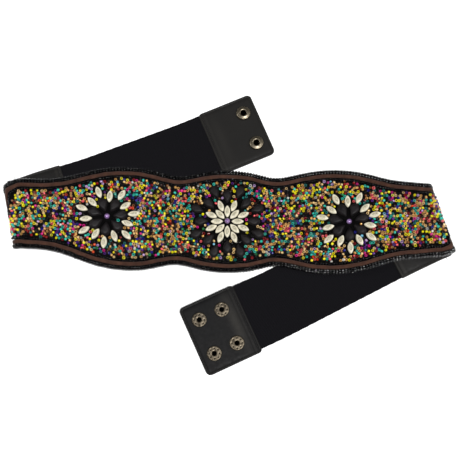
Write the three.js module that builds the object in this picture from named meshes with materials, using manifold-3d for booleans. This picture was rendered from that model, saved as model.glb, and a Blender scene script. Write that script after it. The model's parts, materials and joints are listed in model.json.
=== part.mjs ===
import * as THREE from "three";
import { mergeVertices } from "three/addons/utils/BufferGeometryUtils.js";
import Module from "manifold-3d";

const wasm = await Module();
wasm.setup();

// Beaded waist belt, lying on a flat surface with both straps folded back under the panel.
// Lengths are in millimetres, angles in degrees.
// The flat belt has u along it, v across it (up in plan) and w out of the beaded face.
// w = 0 lies between the panel's backing and the leather that joins it to the elastic.

// Panel
const HALF_PANEL = 190;
const HALF_WIDTH = 41;
const PANEL_CORNER = 8.7;
const BACKING = { low: 0.25, high: 1.7, out: 3.2 };
const SEEDS = { low: 2.85, high: 4.4, out: -2.15 };
const MIDDLE_HEIGHT = 3.3;
const MIDDLE_END = 55;
const MIDDLE_RISE = HALF_PANEL - MIDDLE_END - 40;

// Place along the belt, given by how far it lies beyond the panel's end
const beyond = (length) => HALF_PANEL + length;

// Half width of the lace line, as shares: [share of HALF_PANEL, left side, right side]
const OUTLINE = [
  [0.0, 0.976, 0.976],
  [0.05, 0.967, 0.966],
  [0.1, 0.939, 0.94],
  [0.15, 0.887, 0.883],
  [0.2, 0.839, 0.832],
  [0.25, 0.835, 0.835],
  [0.3, 0.879, 0.878],
  [0.35, 0.934, 0.93],
  [0.4, 0.974, 0.971],
  [0.45, 0.986, 0.992],
  [0.5, 0.976, 0.991],
  [0.55, 0.946, 0.97],
  [0.6, 0.894, 0.929],
  [0.65, 0.822, 0.869],
  [0.7, 0.746, 0.798],
  [0.75, 0.68, 0.737],
  [0.8, 0.64, 0.705],
  [0.85, 0.621, 0.684],
  [0.9, 0.617, 0.662],
  [0.95, 0.612, 0.648],
  [1.0, 0.612, 0.644],
];

// Sections across the lace line: [out from the line, height w]
const LACE_SECTION = [
  [-1.75, 2.5],
  [0, 2.5],
  [1.75, 2.5],
  [1.6, 3.5],
  [-1.6, 3.5],
];
const EDGE_SECTION = [
  [2.0, 2.7],
  [4.7, 2.7],
  [4.7, 0.4],
  [5.7, 0.5],
  [5.8, 3.0],
  [2.1, 4.0],
];
const EDGE_OUT = 5.8;

// Folds: the belt turns down over a round of radius FOLD and runs back below itself
const FOLD = 3.8;
const UNDER_HEIGHT = 4.9;
const FOLD_HEIGHT = UNDER_HEIGHT + FOLD;

// Line of the belt in plan: its heading and offset at the middle, and its bow
const HEADING = -0.97;
const AXIS_OFFSET = 0.7;
const BOW = 0.00688;

// Straps
const STRAP_HALF = 30;
const ELASTIC_HALF = STRAP_HALF - 0.7;
const LEATHER = { low: -0.15, bendLow: -0.4, bend: -2.45, pocket: -3.05, tip: -2.7 };
const POCKET = { low: -0.85, high: -2.35, half: ELASTIC_HALF + 0.25 };
const ELASTIC = { low: -1.05, high: -2.15 };
const POCKET_DEPTH = 12;
const TAB_POCKET = 7.5;

// Each side: where the fold starts on the line, how much it leans, how it bulges towards the
// free corner, the turns of the line in plan [end, turn in degrees per mm], the height of the
// strap's w = 0 [along, height, soft or straight] and the ends of its pieces
const SIDES = {
  left: {
    sign: -1,
    foldAt: beyond(-7.9),
    lean: 11,
    bulge: 5.2,
    bulgeSlope: 0.07,
    turns: [
      [beyond(-25), BOW],
      [beyond(35), 0],
      [beyond(75), 0.0325],
      [beyond(150), 0],
      [beyond(180), 0.04],
      [Infinity, 0],
    ],
    heights: [
      [beyond(22), UNDER_HEIGHT, "soft"],
      [beyond(80), -1.05, "soft"],
      [beyond(160), -1.05, "soft"],
      [beyond(183.3), -0.05, "soft"],
      [beyond(234), 2.15, "straight"],
    ],
    connectorEnd: beyond(50.5),
    tabStart: beyond(183.3),
    tabEnd: beyond(234),
    tabLow: -STRAP_HALF - 0.2,
    tabHigh: STRAP_HALF + 0.4,
  },
  right: {
    sign: 1,
    foldAt: beyond(-10.5),
    lean: 12.4,
    bulge: 5.2,
    bulgeSlope: 0.07,
    turns: [
      [beyond(-25), BOW],
      [beyond(25), 0],
      [beyond(65), -0.0475],
      [beyond(150), 0],
      [beyond(180), 0.0767],
      [Infinity, 0],
    ],
    heights: [
      [beyond(22), UNDER_HEIGHT, "soft"],
      [beyond(80), -1.05, "soft"],
      [beyond(153), -1.05, "soft"],
      [beyond(181), 3.3, "soft"],
      [beyond(234.2), 3.3, "straight"],
    ],
    connectorEnd: beyond(49),
    tabStart: beyond(183.4),
    tabEnd: beyond(234.2),
    tabLow: -STRAP_HALF - 1.6,
    tabHigh: STRAP_HALF + 0.4,
  },
};
const TAB_CORNER = 4.2;
const CONNECTOR_START = beyond(-22);

// Snaps on the tabs: [side, along, across]
const SOCKETS = [
  ["left", SIDES.left.tabEnd - 12.4, 15.2],
  ["left", SIDES.left.tabEnd - 12.4, -15.2],
];
const STUDS = [
  ["right", SIDES.right.tabEnd - 12.8, 14.8],
  ["right", SIDES.right.tabEnd - 12.8, -16.2],
  ["right", SIDES.right.tabEnd - 33.7, 14.8],
  ["right", SIDES.right.tabEnd - 33.7, -16.2],
];
const SNAP_HOLE = 2.75;

// Half sections of the snaps: [radius, height above the seen face of the leather]
const TAB_THICK = 2.55;
const SOCKET_PROFILE = [
  [0, 0.5],
  [2.6, 0.5],
  [2.75, 2.0],
  [3.4, 2.4],
  [5.3, 2.0],
  [6.4, 0.2],
  [2.45, 0.1],
  [2.45, -TAB_THICK - 0.15],
  [6.2, -TAB_THICK - 0.15],
  [5.4, -TAB_THICK - 1.5],
  [0, -TAB_THICK - 1.5],
];
const STUD_PROFILE = [
  [0, -0.6],
  [1.9, -0.6],
  [1.9, 0.8],
  [5.8, 0.9],
  [6.35, 0.1],
  [2.45, 0.1],
  [2.45, -TAB_THICK - 0.15],
  [5.9, -TAB_THICK - 0.15],
  [5.9, -TAB_THICK - 1.0],
  [2.5, -TAB_THICK - 1.2],
  [2.7, -TAB_THICK - 3.4],
  [0, -TAB_THICK - 3.4],
];
const SNAP_SIDES = 10;

// Stones: length, width, foot, girdle and top heights w, and the table's share of the outline
const NAVETTE = { length: 10.5, width: 5.0, foot: 1.9, girdle: 3.6, top: 5.0, table: 0.5 };
const DROP = { length: 12.2, width: 8.0, foot: 1.95, girdle: 3.8, top: 5.1, table: 0.6 };
const DROP_CENTRE = { length: 11.6, width: 7.6, foot: 1.95, girdle: 3.8, top: 5.1, table: 0.6 };
const PEARL = { radius: 2.35, foot: 1.95, raisedFoot: 2.85 };
const STONE_GAP = 0.3;
const WEB = { low: 2.05, high: 2.6 };

// Flowers: place on the flat belt, turn of the first ray, hollow in the seed layer,
// web that joins the ivory stones [inner radius, outer radius, sides],
// rings of ivory and of black stones [count, radius, turn as a share of one step]
const FLOWERS = [
  {
    name: "left",
    at: [-0.5479 * HALF_PANEL, 0.2],
    turn: -93.3,
    hollow: 15.5,
    web: [17.5, 20, 14],
    ivory: [
      [7, 22.9, 0],
      [7, 18.2, 0.5],
    ],
    black: [[7, 11.15, 0]],
    stone: DROP,
    pearlFoot: PEARL.foot,
  },
  {
    name: "centre",
    at: [0, -0.7],
    turn: 0.9,
    hollow: 17,
    web: [0, 12, 16],
    ivory: [
      [8, 9.0, 0],
      [8, 15.1, 0.5],
    ],
    black: [
      [8, 22.6, 0],
      [8, 28.4, 0.5],
    ],
    stone: DROP_CENTRE,
    pearlFoot: PEARL.raisedFoot,
  },
  {
    name: "right",
    at: [0.5537 * HALF_PANEL, -1.0],
    turn: -88.3,
    hollow: 15.5,
    web: [17.5, 20, 14],
    ivory: [
      [7, 22.9, 0],
      [7, 18.2, 0.5],
    ],
    black: [[7, 11.15, 0]],
    stone: DROP,
    pearlFoot: PEARL.foot,
  },
];

const COLOURS = {
  backing: { color: 0x161414, roughness: 0.9, metalness: 0 },
  seeds: { color: 0x8a7348, roughness: 0.35, metalness: 0 },
  lace: { color: 0x4a2c20, roughness: 0.85, metalness: 0 },
  edge: { color: 0x141416, roughness: 0.3, metalness: 0 },
  leather: { color: 0x222224, roughness: 0.6, metalness: 0 },
  elastic: { color: 0x111113, roughness: 0.95, metalness: 0 },
  snap: { color: 0x8f877c, roughness: 0.35, metalness: 0.9 },
  ivory: { color: 0xe3dcc6, roughness: 0.4, metalness: 0 },
  black: { color: 0x17171a, roughness: 0.45, metalness: 0 },
  pearl: { color: 0x8c74ae, roughness: 0.25, metalness: 0.1 },
};

const rad = (degrees) => (degrees * Math.PI) / 180;
const clamp = (x, low, high) => Math.min(high, Math.max(low, x));
const soft = (t) => clamp(t, 0, 1) ** 2 * (3 - 2 * clamp(t, 0, 1));
const sideOf = (u) => (u < 0 ? SIDES.left : SIDES.right);

// Point and heading of the belt's line in plan
function linePoint(u) {
  const side = sideOf(u);
  let x = 0;
  let y = AXIS_OFFSET;
  let heading = rad(HEADING);
  let at = 0;
  for (const [end, turn] of side.turns) {
    const length = Math.min(Math.abs(u), end) - at;
    if (length <= 0) {
      break;
    }
    const turned = side.sign * rad(turn) * length;
    const chord = Math.abs(turned) < 1e-9 ? length : (length * Math.sin(turned / 2)) / (turned / 2);
    x += side.sign * chord * Math.cos(heading + turned / 2);
    y += side.sign * chord * Math.sin(heading + turned / 2);
    heading += turned;
    at += length;
  }
  return { x, y, heading };
}

function planPoint(u, v) {
  const { x, y, heading } = linePoint(u);
  return new THREE.Vector2(x - v * Math.sin(heading), y + v * Math.cos(heading));
}

// Fold line of a side: a point on it, the way across it and the way along it
for (const side of Object.values(SIDES)) {
  const { x, y, heading } = linePoint(side.sign * side.foldAt);
  const out = heading + (side.sign < 0 ? Math.PI : 0) + rad(side.lean);
  side.foldPoint = new THREE.Vector2(x, y);
  side.across = new THREE.Vector2(Math.cos(out), Math.sin(out));
  side.along = new THREE.Vector2(-side.across.y * side.sign, side.across.x * side.sign);
}

function panelHeight(u) {
  const rise = soft((Math.abs(u) - MIDDLE_END) / MIDDLE_RISE);
  return MIDDLE_HEIGHT + (FOLD_HEIGHT + FOLD - MIDDLE_HEIGHT) * rise;
}

function strapHeight(side, along) {
  const knots = side.heights;
  if (along <= knots[0][0]) {
    return knots[0][1];
  }
  for (let i = 1; i < knots.length; i += 1) {
    const [end, height, kind] = knots[i];
    const [start, before] = knots[i - 1];
    if (along <= end || i === knots.length - 1) {
      const t = (along - start) / (end - start);
      return before + (height - before) * (kind === "soft" ? soft(t) : t);
    }
  }
  return knots[knots.length - 1][1];
}

// Place of a point of the flat belt on the folded one
function fold(u, v, w) {
  const side = sideOf(u);
  const plan = planPoint(u, v);
  const offset = plan.clone().sub(side.foldPoint);
  const past = offset.dot(side.across);
  const shift = offset.dot(side.along);
  const round = Math.PI * FOLD;
  if (past <= 0) {
    return new THREE.Vector3(plan.x, plan.y, panelHeight(u) + w);
  }
  let reach = round - past;
  let height = strapHeight(side, Math.abs(u)) - w;
  if (past < round) {
    const angle = past / FOLD;
    const bulge = side.bulge - side.sign * side.bulgeSlope * shift;
    reach = (bulge + w) * Math.sin(angle);
    height = FOLD_HEIGHT + (FOLD + w) * Math.cos(angle);
  }
  const place = side.foldPoint.clone().addScaledVector(side.across, reach);
  place.addScaledVector(side.along, shift);
  return new THREE.Vector3(place.x, place.y, height);
}

// Closed surfaces from lists of points and faces
class Surface {
  constructor() {
    this.points = [];
    this.faces = [];
  }

  add(point) {
    this.points.push(point);
    return this.points.length - 1;
  }

  triangle(a, b, c) {
    this.faces.push([a, b, c]);
  }

  quad(a, b, c, d) {
    this.triangle(a, b, d);
    this.triangle(b, c, d);
  }

  // Strip between two rows of points, each row sorted by its keys
  strip(rowA, keysA, rowB, keysB, up) {
    let i = 0;
    let j = 0;
    while (i < rowA.length - 1 || j < rowB.length - 1) {
      const nextA = i < rowA.length - 1 ? keysA[i + 1] : Infinity;
      const nextB = j < rowB.length - 1 ? keysB[j + 1] : Infinity;
      if (nextA <= nextB + 1e-9) {
        this.triangle(...(up ? [rowA[i], rowB[j], rowA[i + 1]] : [rowA[i], rowA[i + 1], rowB[j]]));
        i += 1;
      } else {
        this.triangle(...(up ? [rowA[i], rowB[j], rowB[j + 1]] : [rowA[i], rowB[j + 1], rowB[j]]));
        j += 1;
      }
    }
  }

  volume() {
    let sum = 0;
    for (const [a, b, c] of this.faces) {
      const cross = this.points[b].clone().cross(this.points[c]);
      sum += this.points[a].dot(cross) / 6;
    }
    return sum;
  }

  geometry() {
    const turned = this.volume() < 0;
    const geometry = new THREE.BufferGeometry().setFromPoints(this.points);
    geometry.setIndex(this.faces.flatMap(([a, b, c]) => (turned ? [a, c, b] : [a, b, c])));
    return mergeVertices(geometry, 1e-5);
  }
}

// Value of the outline table at u by a smooth curve through its rows
function halfLine(u) {
  const column = u < 0 ? 1 : 2;
  const step = OUTLINE[1][0];
  const t = clamp(Math.abs(u) / HALF_PANEL, 0, 1) / step;
  const i = Math.min(Math.floor(t), OUTLINE.length - 2);
  const value = (k) => OUTLINE[clamp(Math.abs(k), 0, OUTLINE.length - 1)][column];
  const f = t - i;
  const slopeA = (value(i + 1) - value(i - 1)) / 2;
  const slopeB = (value(i + 2) - value(i)) / 2;
  const f2 = f * f;
  const f3 = f2 * f;
  const start = (2 * f3 - 3 * f2 + 1) * value(i) + (f3 - 2 * f2 + f) * slopeA;
  const end = (3 * f2 - 2 * f3) * value(i + 1) + (f3 - f2) * slopeB;
  return HALF_WIDTH * (start + end);
}

// Half width of the panel at u for an edge that lies out from the lace line
function halfWidth(u, out) {
  const slope = (halfLine(u + 0.5) - halfLine(u - 0.5)) / 1;
  const half = halfLine(u) + out * Math.hypot(1, slope);
  const corner = PANEL_CORNER + out;
  const into = Math.abs(u) - (HALF_PANEL - PANEL_CORNER);
  if (into <= 0) {
    return half;
  }
  return half - corner + Math.sqrt(Math.max(0, corner ** 2 - into ** 2));
}

const STEP = 11.9;
const BEND_STEP = 2.15;
const BEND_START = beyond(-26);
const CROSS_LINES = [-22, -11, 0, 11, 22];

function panelStations(out) {
  const stations = [];
  const middle = 2 * Math.round(BEND_START / STEP);
  for (let i = 0; i <= middle; i += 1) {
    stations.push(-BEND_START + (2 * BEND_START * i) / middle);
  }
  const cornerStart = HALF_PANEL - PANEL_CORNER;
  const bends = Math.round((cornerStart - BEND_START) / BEND_STEP);
  const right = [];
  for (let i = 1; i <= bends; i += 1) {
    right.push(BEND_START + ((cornerStart - BEND_START) * i) / bends);
  }
  for (const angle of cornerAngles(PANEL_CORNER + out)) {
    right.push(cornerStart + (PANEL_CORNER + out) * Math.sin(angle));
  }
  return [...right.map((u) => -u).reverse(), ...stations, ...right];
}

// Angles of the stations round a corner, none further along the belt than a bend step
function cornerAngles(radius) {
  const angles = [];
  let angle = 0;
  while (angle < Math.PI / 2 - 0.05) {
    const reach = Math.min(1, Math.sin(angle) + BEND_STEP / radius);
    angle = Math.min(angle + rad(16), Math.asin(reach), Math.PI / 2);
    angles.push(angle);
  }
  return angles;
}

// Sheet of the panel between two heights, with its edge out from the lace line
function panelSheet({ low, high, out }) {
  const surface = new Surface();
  const rows = panelStations(out).map((u) => {
    const half = halfWidth(u, out);
    const inBend = Math.abs(u) >= BEND_START - 1;
    const lines = inBend
      ? CROSS_LINES.map((v) => Math.sign(v) * Math.min(Math.abs(v), half - (v ? 24 / Math.abs(v) : 1)))
      : [0];
    const keys = [-half, ...lines, half];
    return {
      keys,
      top: keys.map((v) => surface.add(fold(u, v, high))),
      bottom: keys.map((v) => surface.add(fold(u, v, low))),
    };
  });
  for (let i = 0; i < rows.length - 1; i += 1) {
    const a = rows[i];
    const b = rows[i + 1];
    surface.strip(a.top, a.keys, b.top, b.keys, true);
    surface.strip(a.bottom, a.keys, b.bottom, b.keys, false);
    surface.quad(a.bottom[0], b.bottom[0], b.top[0], a.top[0]);
    const m = a.keys.length - 1;
    const n = b.keys.length - 1;
    surface.quad(b.bottom[n], a.bottom[m], a.top[m], b.top[n]);
  }
  const first = rows[0];
  const last = rows[rows.length - 1];
  for (let j = 0; j < first.keys.length - 1; j += 1) {
    surface.quad(first.bottom[j + 1], first.bottom[j], first.top[j], first.top[j + 1]);
    surface.quad(last.bottom[j], last.bottom[j + 1], last.top[j + 1], last.top[j]);
  }
  return surface.geometry();
}

// Points of the lace line all round the panel, with the way out at each
function laceLine() {
  const cornerStart = HALF_PANEL - PANEL_CORNER;
  const points = [];
  for (const end of [1, -1]) {
    const half = halfLine(end * cornerStart);
    const straight = panelStations(0).filter((u) => Math.abs(u) <= cornerStart + 1e-6);
    for (const u of end > 0 ? straight : straight.reverse()) {
      points.push([u, end * halfLine(u)]);
    }
    const corner = cornerAngles(PANEL_CORNER + EDGE_OUT);
    for (const angle of corner) {
      const x = cornerStart + PANEL_CORNER * Math.sin(angle);
      const y = half - PANEL_CORNER * (1 - Math.cos(angle));
      points.push([end * x, end * y]);
    }
    const flat = half - PANEL_CORNER;
    const steps = 6;
    for (let i = 1; i < steps; i += 1) {
      points.push([end * HALF_PANEL, end * flat * (1 - (2 * i) / steps)]);
    }
    for (const angle of corner.reverse()) {
      const x = cornerStart + PANEL_CORNER * Math.sin(angle);
      const y = half - PANEL_CORNER * (1 - Math.cos(angle));
      points.push([end * x, -end * y]);
    }
  }
  return points.map(([u, v], i) => {
    const before = points[(i + points.length - 1) % points.length];
    const after = points[(i + 1) % points.length];
    const length = Math.hypot(after[0] - before[0], after[1] - before[1]);
    return { u, v, outU: -(after[1] - before[1]) / length, outV: (after[0] - before[0]) / length };
  });
}

function sweepRound(section) {
  const surface = new Surface();
  const rings = laceLine().map(({ u, v, outU, outV }) =>
    section.map(([out, w]) => surface.add(fold(u + outU * out, v + outV * out, w)))
  );
  for (let i = 0; i < rings.length; i += 1) {
    const a = rings[i];
    const b = rings[(i + 1) % rings.length];
    for (let j = 0; j < section.length; j += 1) {
      const k = (j + 1) % section.length;
      surface.quad(a[j], b[j], b[k], a[k]);
    }
  }
  return surface.geometry();
}

// Tube with a flat four-cornered section, closed at its first end; its other end is closed
// too, or open to a pocket of its own
function strapSolid(side, stations, pocketStations) {
  const surface = new Surface();
  const ring = ({ along, lowV, highV, low, high, shear = 0 }) =>
    [
      [lowV, low],
      [highV, low],
      [highV, high],
      [lowV, high],
    ].map(([v, w]) => {
      const slant = shear * side.sign * v * Math.tan(rad(side.lean));
      return surface.add(fold(side.sign * (along - slant), v, w));
    });
  const skin = (rings, inside) => {
    for (let i = 0; i < rings.length - 1; i += 1) {
      for (let j = 0; j < 4; j += 1) {
        const k = (j + 1) % 4;
        const corners = [rings[i][j], rings[i + 1][j], rings[i + 1][k], rings[i][k]];
        surface.quad(...(inside ? corners.reverse() : corners));
      }
    }
  };
  const outer = stations.map(ring);
  skin(outer, false);
  surface.quad(...outer[0]);
  const last = outer[outer.length - 1];
  if (!pocketStations) {
    surface.quad(...[...last].reverse());
    return surface.geometry();
  }
  const inner = pocketStations.map(ring);
  skin(inner, true);
  surface.quad(...[...inner[0]].reverse());
  const mouth = inner[inner.length - 1];
  for (let j = 0; j < 4; j += 1) {
    const k = (j + 1) % 4;
    surface.quad(last[j], mouth[j], mouth[k], last[k]);
  }
  return surface.geometry();
}

const ramp = (x, a, b) => clamp((x - a) / (b - a), 0, 1);

function spread(start, end, step) {
  const count = Math.max(1, Math.round((end - start) / step));
  return Array.from({ length: count + 1 }, (_, i) => start + ((end - start) * i) / count);
}

function connector(side) {
  const bendEnd = side.foldAt + (Math.PI * FOLD) / Math.cos(rad(side.lean));
  const mouth = side.connectorEnd - POCKET_DEPTH;
  const bend = spread(side.foldAt, bendEnd, 1.55);
  const thicken = [13, 18, 22, 26, 30].map(beyond);
  const [start, early, leave, , full] = thicken;
  const tail = [...thicken, ...spread(mouth, side.connectorEnd, 4)];
  const stations = [CONNECTOR_START, beyond(-15), ...bend, ...tail].map((along) => ({
    along,
    lowV: -STRAP_HALF,
    highV: STRAP_HALF,
    low: LEATHER.bendLow + (LEATHER.low - LEATHER.bendLow) * ramp(along, start, leave),
    high: LEATHER.bend + (LEATHER.pocket - LEATHER.bend) * ramp(along, early, full),
    shear: 1 - ramp(along, start, full),
  }));
  const pocket = spread(mouth, side.connectorEnd, 4).map((along) => ({
    along,
    lowV: -POCKET.half,
    highV: POCKET.half,
    low: POCKET.low,
    high: POCKET.high,
  }));
  return strapSolid(side, stations, pocket);
}

function elastic(side) {
  const start = side.connectorEnd - POCKET_DEPTH + 0.6;
  const end = side.tabStart + TAB_POCKET - 0.4;
  const level = side.heights[1][0];
  const rise = side.heights[2][0];
  const seam = side.heights[3][0];
  const alongs = [
    start,
    ...spread(side.connectorEnd - 8, level, 5.5),
    ...spread(level, rise, 20).slice(1),
    ...spread(rise, seam, 4).slice(1),
    end,
  ];
  const stations = alongs.map((along) => ({
    along,
    lowV: -ELASTIC_HALF,
    highV: ELASTIC_HALF,
    low: ELASTIC.low,
    high: ELASTIC.high,
  }));
  return strapSolid(side, stations, null);
}

function endTab(side, snaps) {
  const cornerStart = side.tabEnd - TAB_CORNER;
  const bottom = side.tabStart + TAB_POCKET;
  const corners = [90, 60, 30].map((angle) => cornerStart + TAB_CORNER * Math.sin(rad(angle)));
  const alongs = [...corners, cornerStart, bottom + 2, bottom, side.tabStart];
  const stations = alongs.map((along) => {
    const into = Math.max(0, along - cornerStart);
    const cut = TAB_CORNER - Math.sqrt(Math.max(0, TAB_CORNER ** 2 - into ** 2));
    const thin = ramp(along, bottom, bottom + 2);
    return {
      along,
      lowV: side.tabLow + cut,
      highV: side.tabHigh - cut,
      low: LEATHER.low,
      high: LEATHER.pocket + (LEATHER.tip - LEATHER.pocket) * thin,
    };
  });
  const pocket = [bottom, side.tabStart].map((along) => ({
    along,
    lowV: -POCKET.half,
    highV: POCKET.half,
    low: POCKET.low,
    high: POCKET.high,
  }));
  let tab = solidOf(strapSolid(side, stations, pocket));
  for (const [, along, across] of snaps) {
    const hole = roundOutline(SNAP_HOLE, SNAP_SIDES).map(([x, y]) => [
      side.sign * along + x,
      across + y,
    ]);
    tab = tab.subtract(solidOf(prism(hole, [[1, 1], [1, -5]])));
  }
  return geometryOf(tab);
}

// Snap turned about its own axis and set in the tab
function snap(sideName, along, across, profile) {
  const side = SIDES[sideName];
  const seen = LEATHER.low - TAB_THICK;
  const points = profile.map(([r, h]) => new THREE.Vector2(r, h));
  const turned = new THREE.LatheGeometry(points, SNAP_SIDES);
  turned.deleteAttribute("normal");
  turned.deleteAttribute("uv");
  const geometry = mergeVertices(turned, 1e-4);
  const place = geometry.getAttribute("position");
  const surface = new Surface();
  for (let i = 0; i < place.count; i += 1) {
    const u = side.sign * along + place.getX(i);
    surface.add(fold(u, across + place.getZ(i), seen - place.getY(i)));
  }
  const index = geometry.getIndex();
  for (let i = 0; i < index.count; i += 3) {
    surface.triangle(index.getX(i), index.getX(i + 1), index.getX(i + 2));
  }
  return surface.geometry();
}

function solidOf(geometry) {
  const mesh = new wasm.Mesh({
    numProp: 3,
    vertProperties: new Float32Array(geometry.getAttribute("position").array),
    triVerts: new Uint32Array(geometry.getIndex().array),
  });
  return new wasm.Manifold(mesh);
}

function geometryOf(solid) {
  const mesh = solid.getMesh();
  const geometry = new THREE.BufferGeometry();
  geometry.setAttribute("position", new THREE.BufferAttribute(mesh.vertProperties, 3));
  geometry.setIndex(new THREE.BufferAttribute(mesh.triVerts, 1));
  return mergeVertices(geometry, 1e-4);
}

// Outlines of stones about their middle, the pointed end of a drop towards minus x
function roundOutline(radius, sides, turn = 0) {
  return Array.from({ length: sides }, (_, i) => {
    const angle = (2 * Math.PI * (i + turn)) / sides;
    return [radius * Math.cos(angle), radius * Math.sin(angle)];
  });
}

function navetteOutline(length, width) {
  const half = [
    [1, 0],
    [0.52, 0.74],
    [0, 1],
    [-0.52, 0.74],
  ];
  const whole = [...half, ...half.map(([x, y]) => [-x, -y])];
  return whole.map(([x, y]) => [(x * length) / 2, (y * width) / 2]);
}

// Plainer outline that leaves room all round a navette
function hollowOutline(length, width) {
  const half = [
    [1, 0],
    [0.45, 1],
    [-0.45, 1],
  ];
  const whole = [...half, ...half.map(([x, y]) => [-x, -y])];
  return whole.map(([x, y]) => [(x * length) / 2, (y * width) / 2]);
}

function dropOutline(length, width) {
  const half = [
    [-1, 0],
    [-0.35, -0.62],
    [0.3, -1],
    [0.82, -0.62],
  ];
  const upper = half.slice(1).reverse();
  const whole = [...half, [1, 0], ...upper.map(([x, y]) => [x, -y])];
  return whole.map(([x, y]) => [(x * length) / 2, (y * width) / 2]);
}

// Stack of one outline at several levels [scale, height w], closed at both ends
function prism(outline, levels, middle = [0, 0]) {
  const surface = new Surface();
  const rings = levels.map(([scale, w]) =>
    outline.map(([x, y]) => {
      const u = middle[0] + (x - middle[0]) * scale;
      const v = middle[1] + (y - middle[1]) * scale;
      return surface.add(fold(u, v, w));
    })
  );
  const count = outline.length;
  for (let i = 0; i < rings.length - 1; i += 1) {
    for (let j = 0; j < count; j += 1) {
      const k = (j + 1) % count;
      surface.quad(rings[i][j], rings[i][k], rings[i + 1][k], rings[i + 1][j]);
    }
  }
  const flat = outline.map(([x, y]) => new THREE.Vector2(x, y));
  const last = rings[rings.length - 1];
  for (const [a, b, c] of THREE.ShapeUtils.triangulateShape(flat, [])) {
    surface.triangle(rings[0][a], rings[0][c], rings[0][b]);
    surface.triangle(last[a], last[b], last[c]);
  }
  return surface.geometry();
}

// Middles and directions of a ring of stones
function ringPlaces(flower, [count, radius, share]) {
  return Array.from({ length: count }, (_, i) => {
    const angle = rad(flower.turn) + (2 * Math.PI * (i + share)) / count;
    return {
      middle: [
        flower.at[0] + radius * Math.cos(angle),
        flower.at[1] + radius * Math.sin(angle),
      ],
      angle,
    };
  });
}

function placed(outline, { middle, angle }) {
  return outline.map(([x, y]) => [
    middle[0] + x * Math.cos(angle) - y * Math.sin(angle),
    middle[1] + x * Math.sin(angle) + y * Math.cos(angle),
  ]);
}

function stoneSolid(outline, place, { foot, girdle, top, table }) {
  const levels = [
    [1, foot],
    [1, girdle],
    [table, top],
  ];
  return prism(placed(outline, place), levels, place.middle);
}

function webSolid(flower) {
  const [inner, outer, sides] = flower.web;
  const turn = (flower.turn / 360) * sides;
  const place = { middle: flower.at, angle: 0 };
  const levels = [
    [1, WEB.low],
    [1, WEB.high],
  ];
  const disc = solidOf(prism(placed(roundOutline(outer, sides, turn), place), levels));
  if (inner === 0) {
    return disc;
  }
  const cut = [
    [1, WEB.low - 1],
    [1, WEB.high + 1],
  ];
  return disc.subtract(solidOf(prism(placed(roundOutline(inner, sides, turn), place), cut)));
}

function ivoryField(flower) {
  let field = webSolid(flower);
  for (const ring of flower.ivory) {
    for (const place of ringPlaces(flower, ring)) {
      const outline = navetteOutline(NAVETTE.length, NAVETTE.width);
      field = field.add(solidOf(stoneSolid(outline, place, NAVETTE)));
    }
  }
  return geometryOf(field);
}

function seedLayer() {
  let layer = solidOf(panelSheet(SEEDS));
  const through = [
    [1, WEB.high],
    [1, NAVETTE.top + 1],
  ];
  const wide = 2 * STONE_GAP;
  for (const flower of FLOWERS) {
    const round = placed(roundOutline(flower.hollow, 16), { middle: flower.at, angle: 0 });
    let hollow = solidOf(prism(round, through));
    for (const ring of flower.ivory) {
      for (const place of ringPlaces(flower, ring)) {
        const outline = hollowOutline(NAVETTE.length + 2 * wide, NAVETTE.width + wide);
        hollow = hollow.add(solidOf(prism(placed(outline, place), through)));
      }
    }
    for (const ring of flower.black) {
      for (const place of ringPlaces(flower, ring)) {
        const { length, width } = flower.stone;
        const outline = dropOutline(length + 1.5 * wide, width + wide);
        hollow = hollow.add(solidOf(prism(placed(outline, place), through)));
      }
    }
    layer = layer.subtract(hollow);
  }
  return geometryOf(layer);
}

function pearl(flower) {
  const { radius } = PEARL;
  const ball = new THREE.SphereGeometry(radius, 10, 6);
  ball.deleteAttribute("normal");
  ball.deleteAttribute("uv");
  ball.rotateX(Math.PI / 2);
  const middle = fold(flower.at[0], flower.at[1], flower.pearlFoot + radius);
  ball.translate(middle.x, middle.y, middle.z);
  return mergeVertices(ball, 1e-4);
}

const belt = new THREE.Group();

function addPiece(name, geometry, colour) {
  const mesh = new THREE.Mesh(geometry, new THREE.MeshStandardMaterial(COLOURS[colour]));
  mesh.name = name;
  belt.add(mesh);
}

addPiece("panel_backing", panelSheet(BACKING), "backing");
addPiece("seed_bead_field", seedLayer(), "seeds");
addPiece("brown_lace", sweepRound(LACE_SECTION), "lace");
addPiece("edge_beading", sweepRound(EDGE_SECTION), "edge");
addPiece("connector_left", connector(SIDES.left), "leather");
addPiece("connector_right", connector(SIDES.right), "leather");
addPiece("elastic_left", elastic(SIDES.left), "elastic");
addPiece("elastic_right", elastic(SIDES.right), "elastic");
addPiece("end_tab_left", endTab(SIDES.left, SOCKETS), "leather");
addPiece("end_tab_right", endTab(SIDES.right, STUDS), "leather");
SOCKETS.forEach(([side, along, across], i) => {
  addPiece(`socket_snap_${i + 1}`, snap(side, along, across, SOCKET_PROFILE), "snap");
});
STUDS.forEach(([side, along, across], i) => {
  addPiece(`stud_snap_${i + 1}`, snap(side, along, across, STUD_PROFILE), "snap");
});
for (const flower of FLOWERS) {
  addPiece(`navettes_${flower.name}`, ivoryField(flower), "ivory");
  const { length, width } = flower.stone;
  const places = flower.black.flatMap((ring) => ringPlaces(flower, ring));
  places.forEach((place, i) => {
    const drop = stoneSolid(dropOutline(length, width), place, flower.stone);
    addPiece(`drop_${flower.name}_${i + 1}`, drop, "black");
  });
  addPiece(`pearl_${flower.name}`, pearl(flower), "pearl");
}

// The origin is the middle of the lowest plane of the whole
const whole = new THREE.Box3().setFromObject(belt, true);
const centre = whole.getCenter(new THREE.Vector3());
belt.position.set(-centre.x, -centre.y, -whole.min.z);

export default belt;
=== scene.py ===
import json
import math

import bpy
import numpy as np
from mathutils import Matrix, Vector, kdtree

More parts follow.
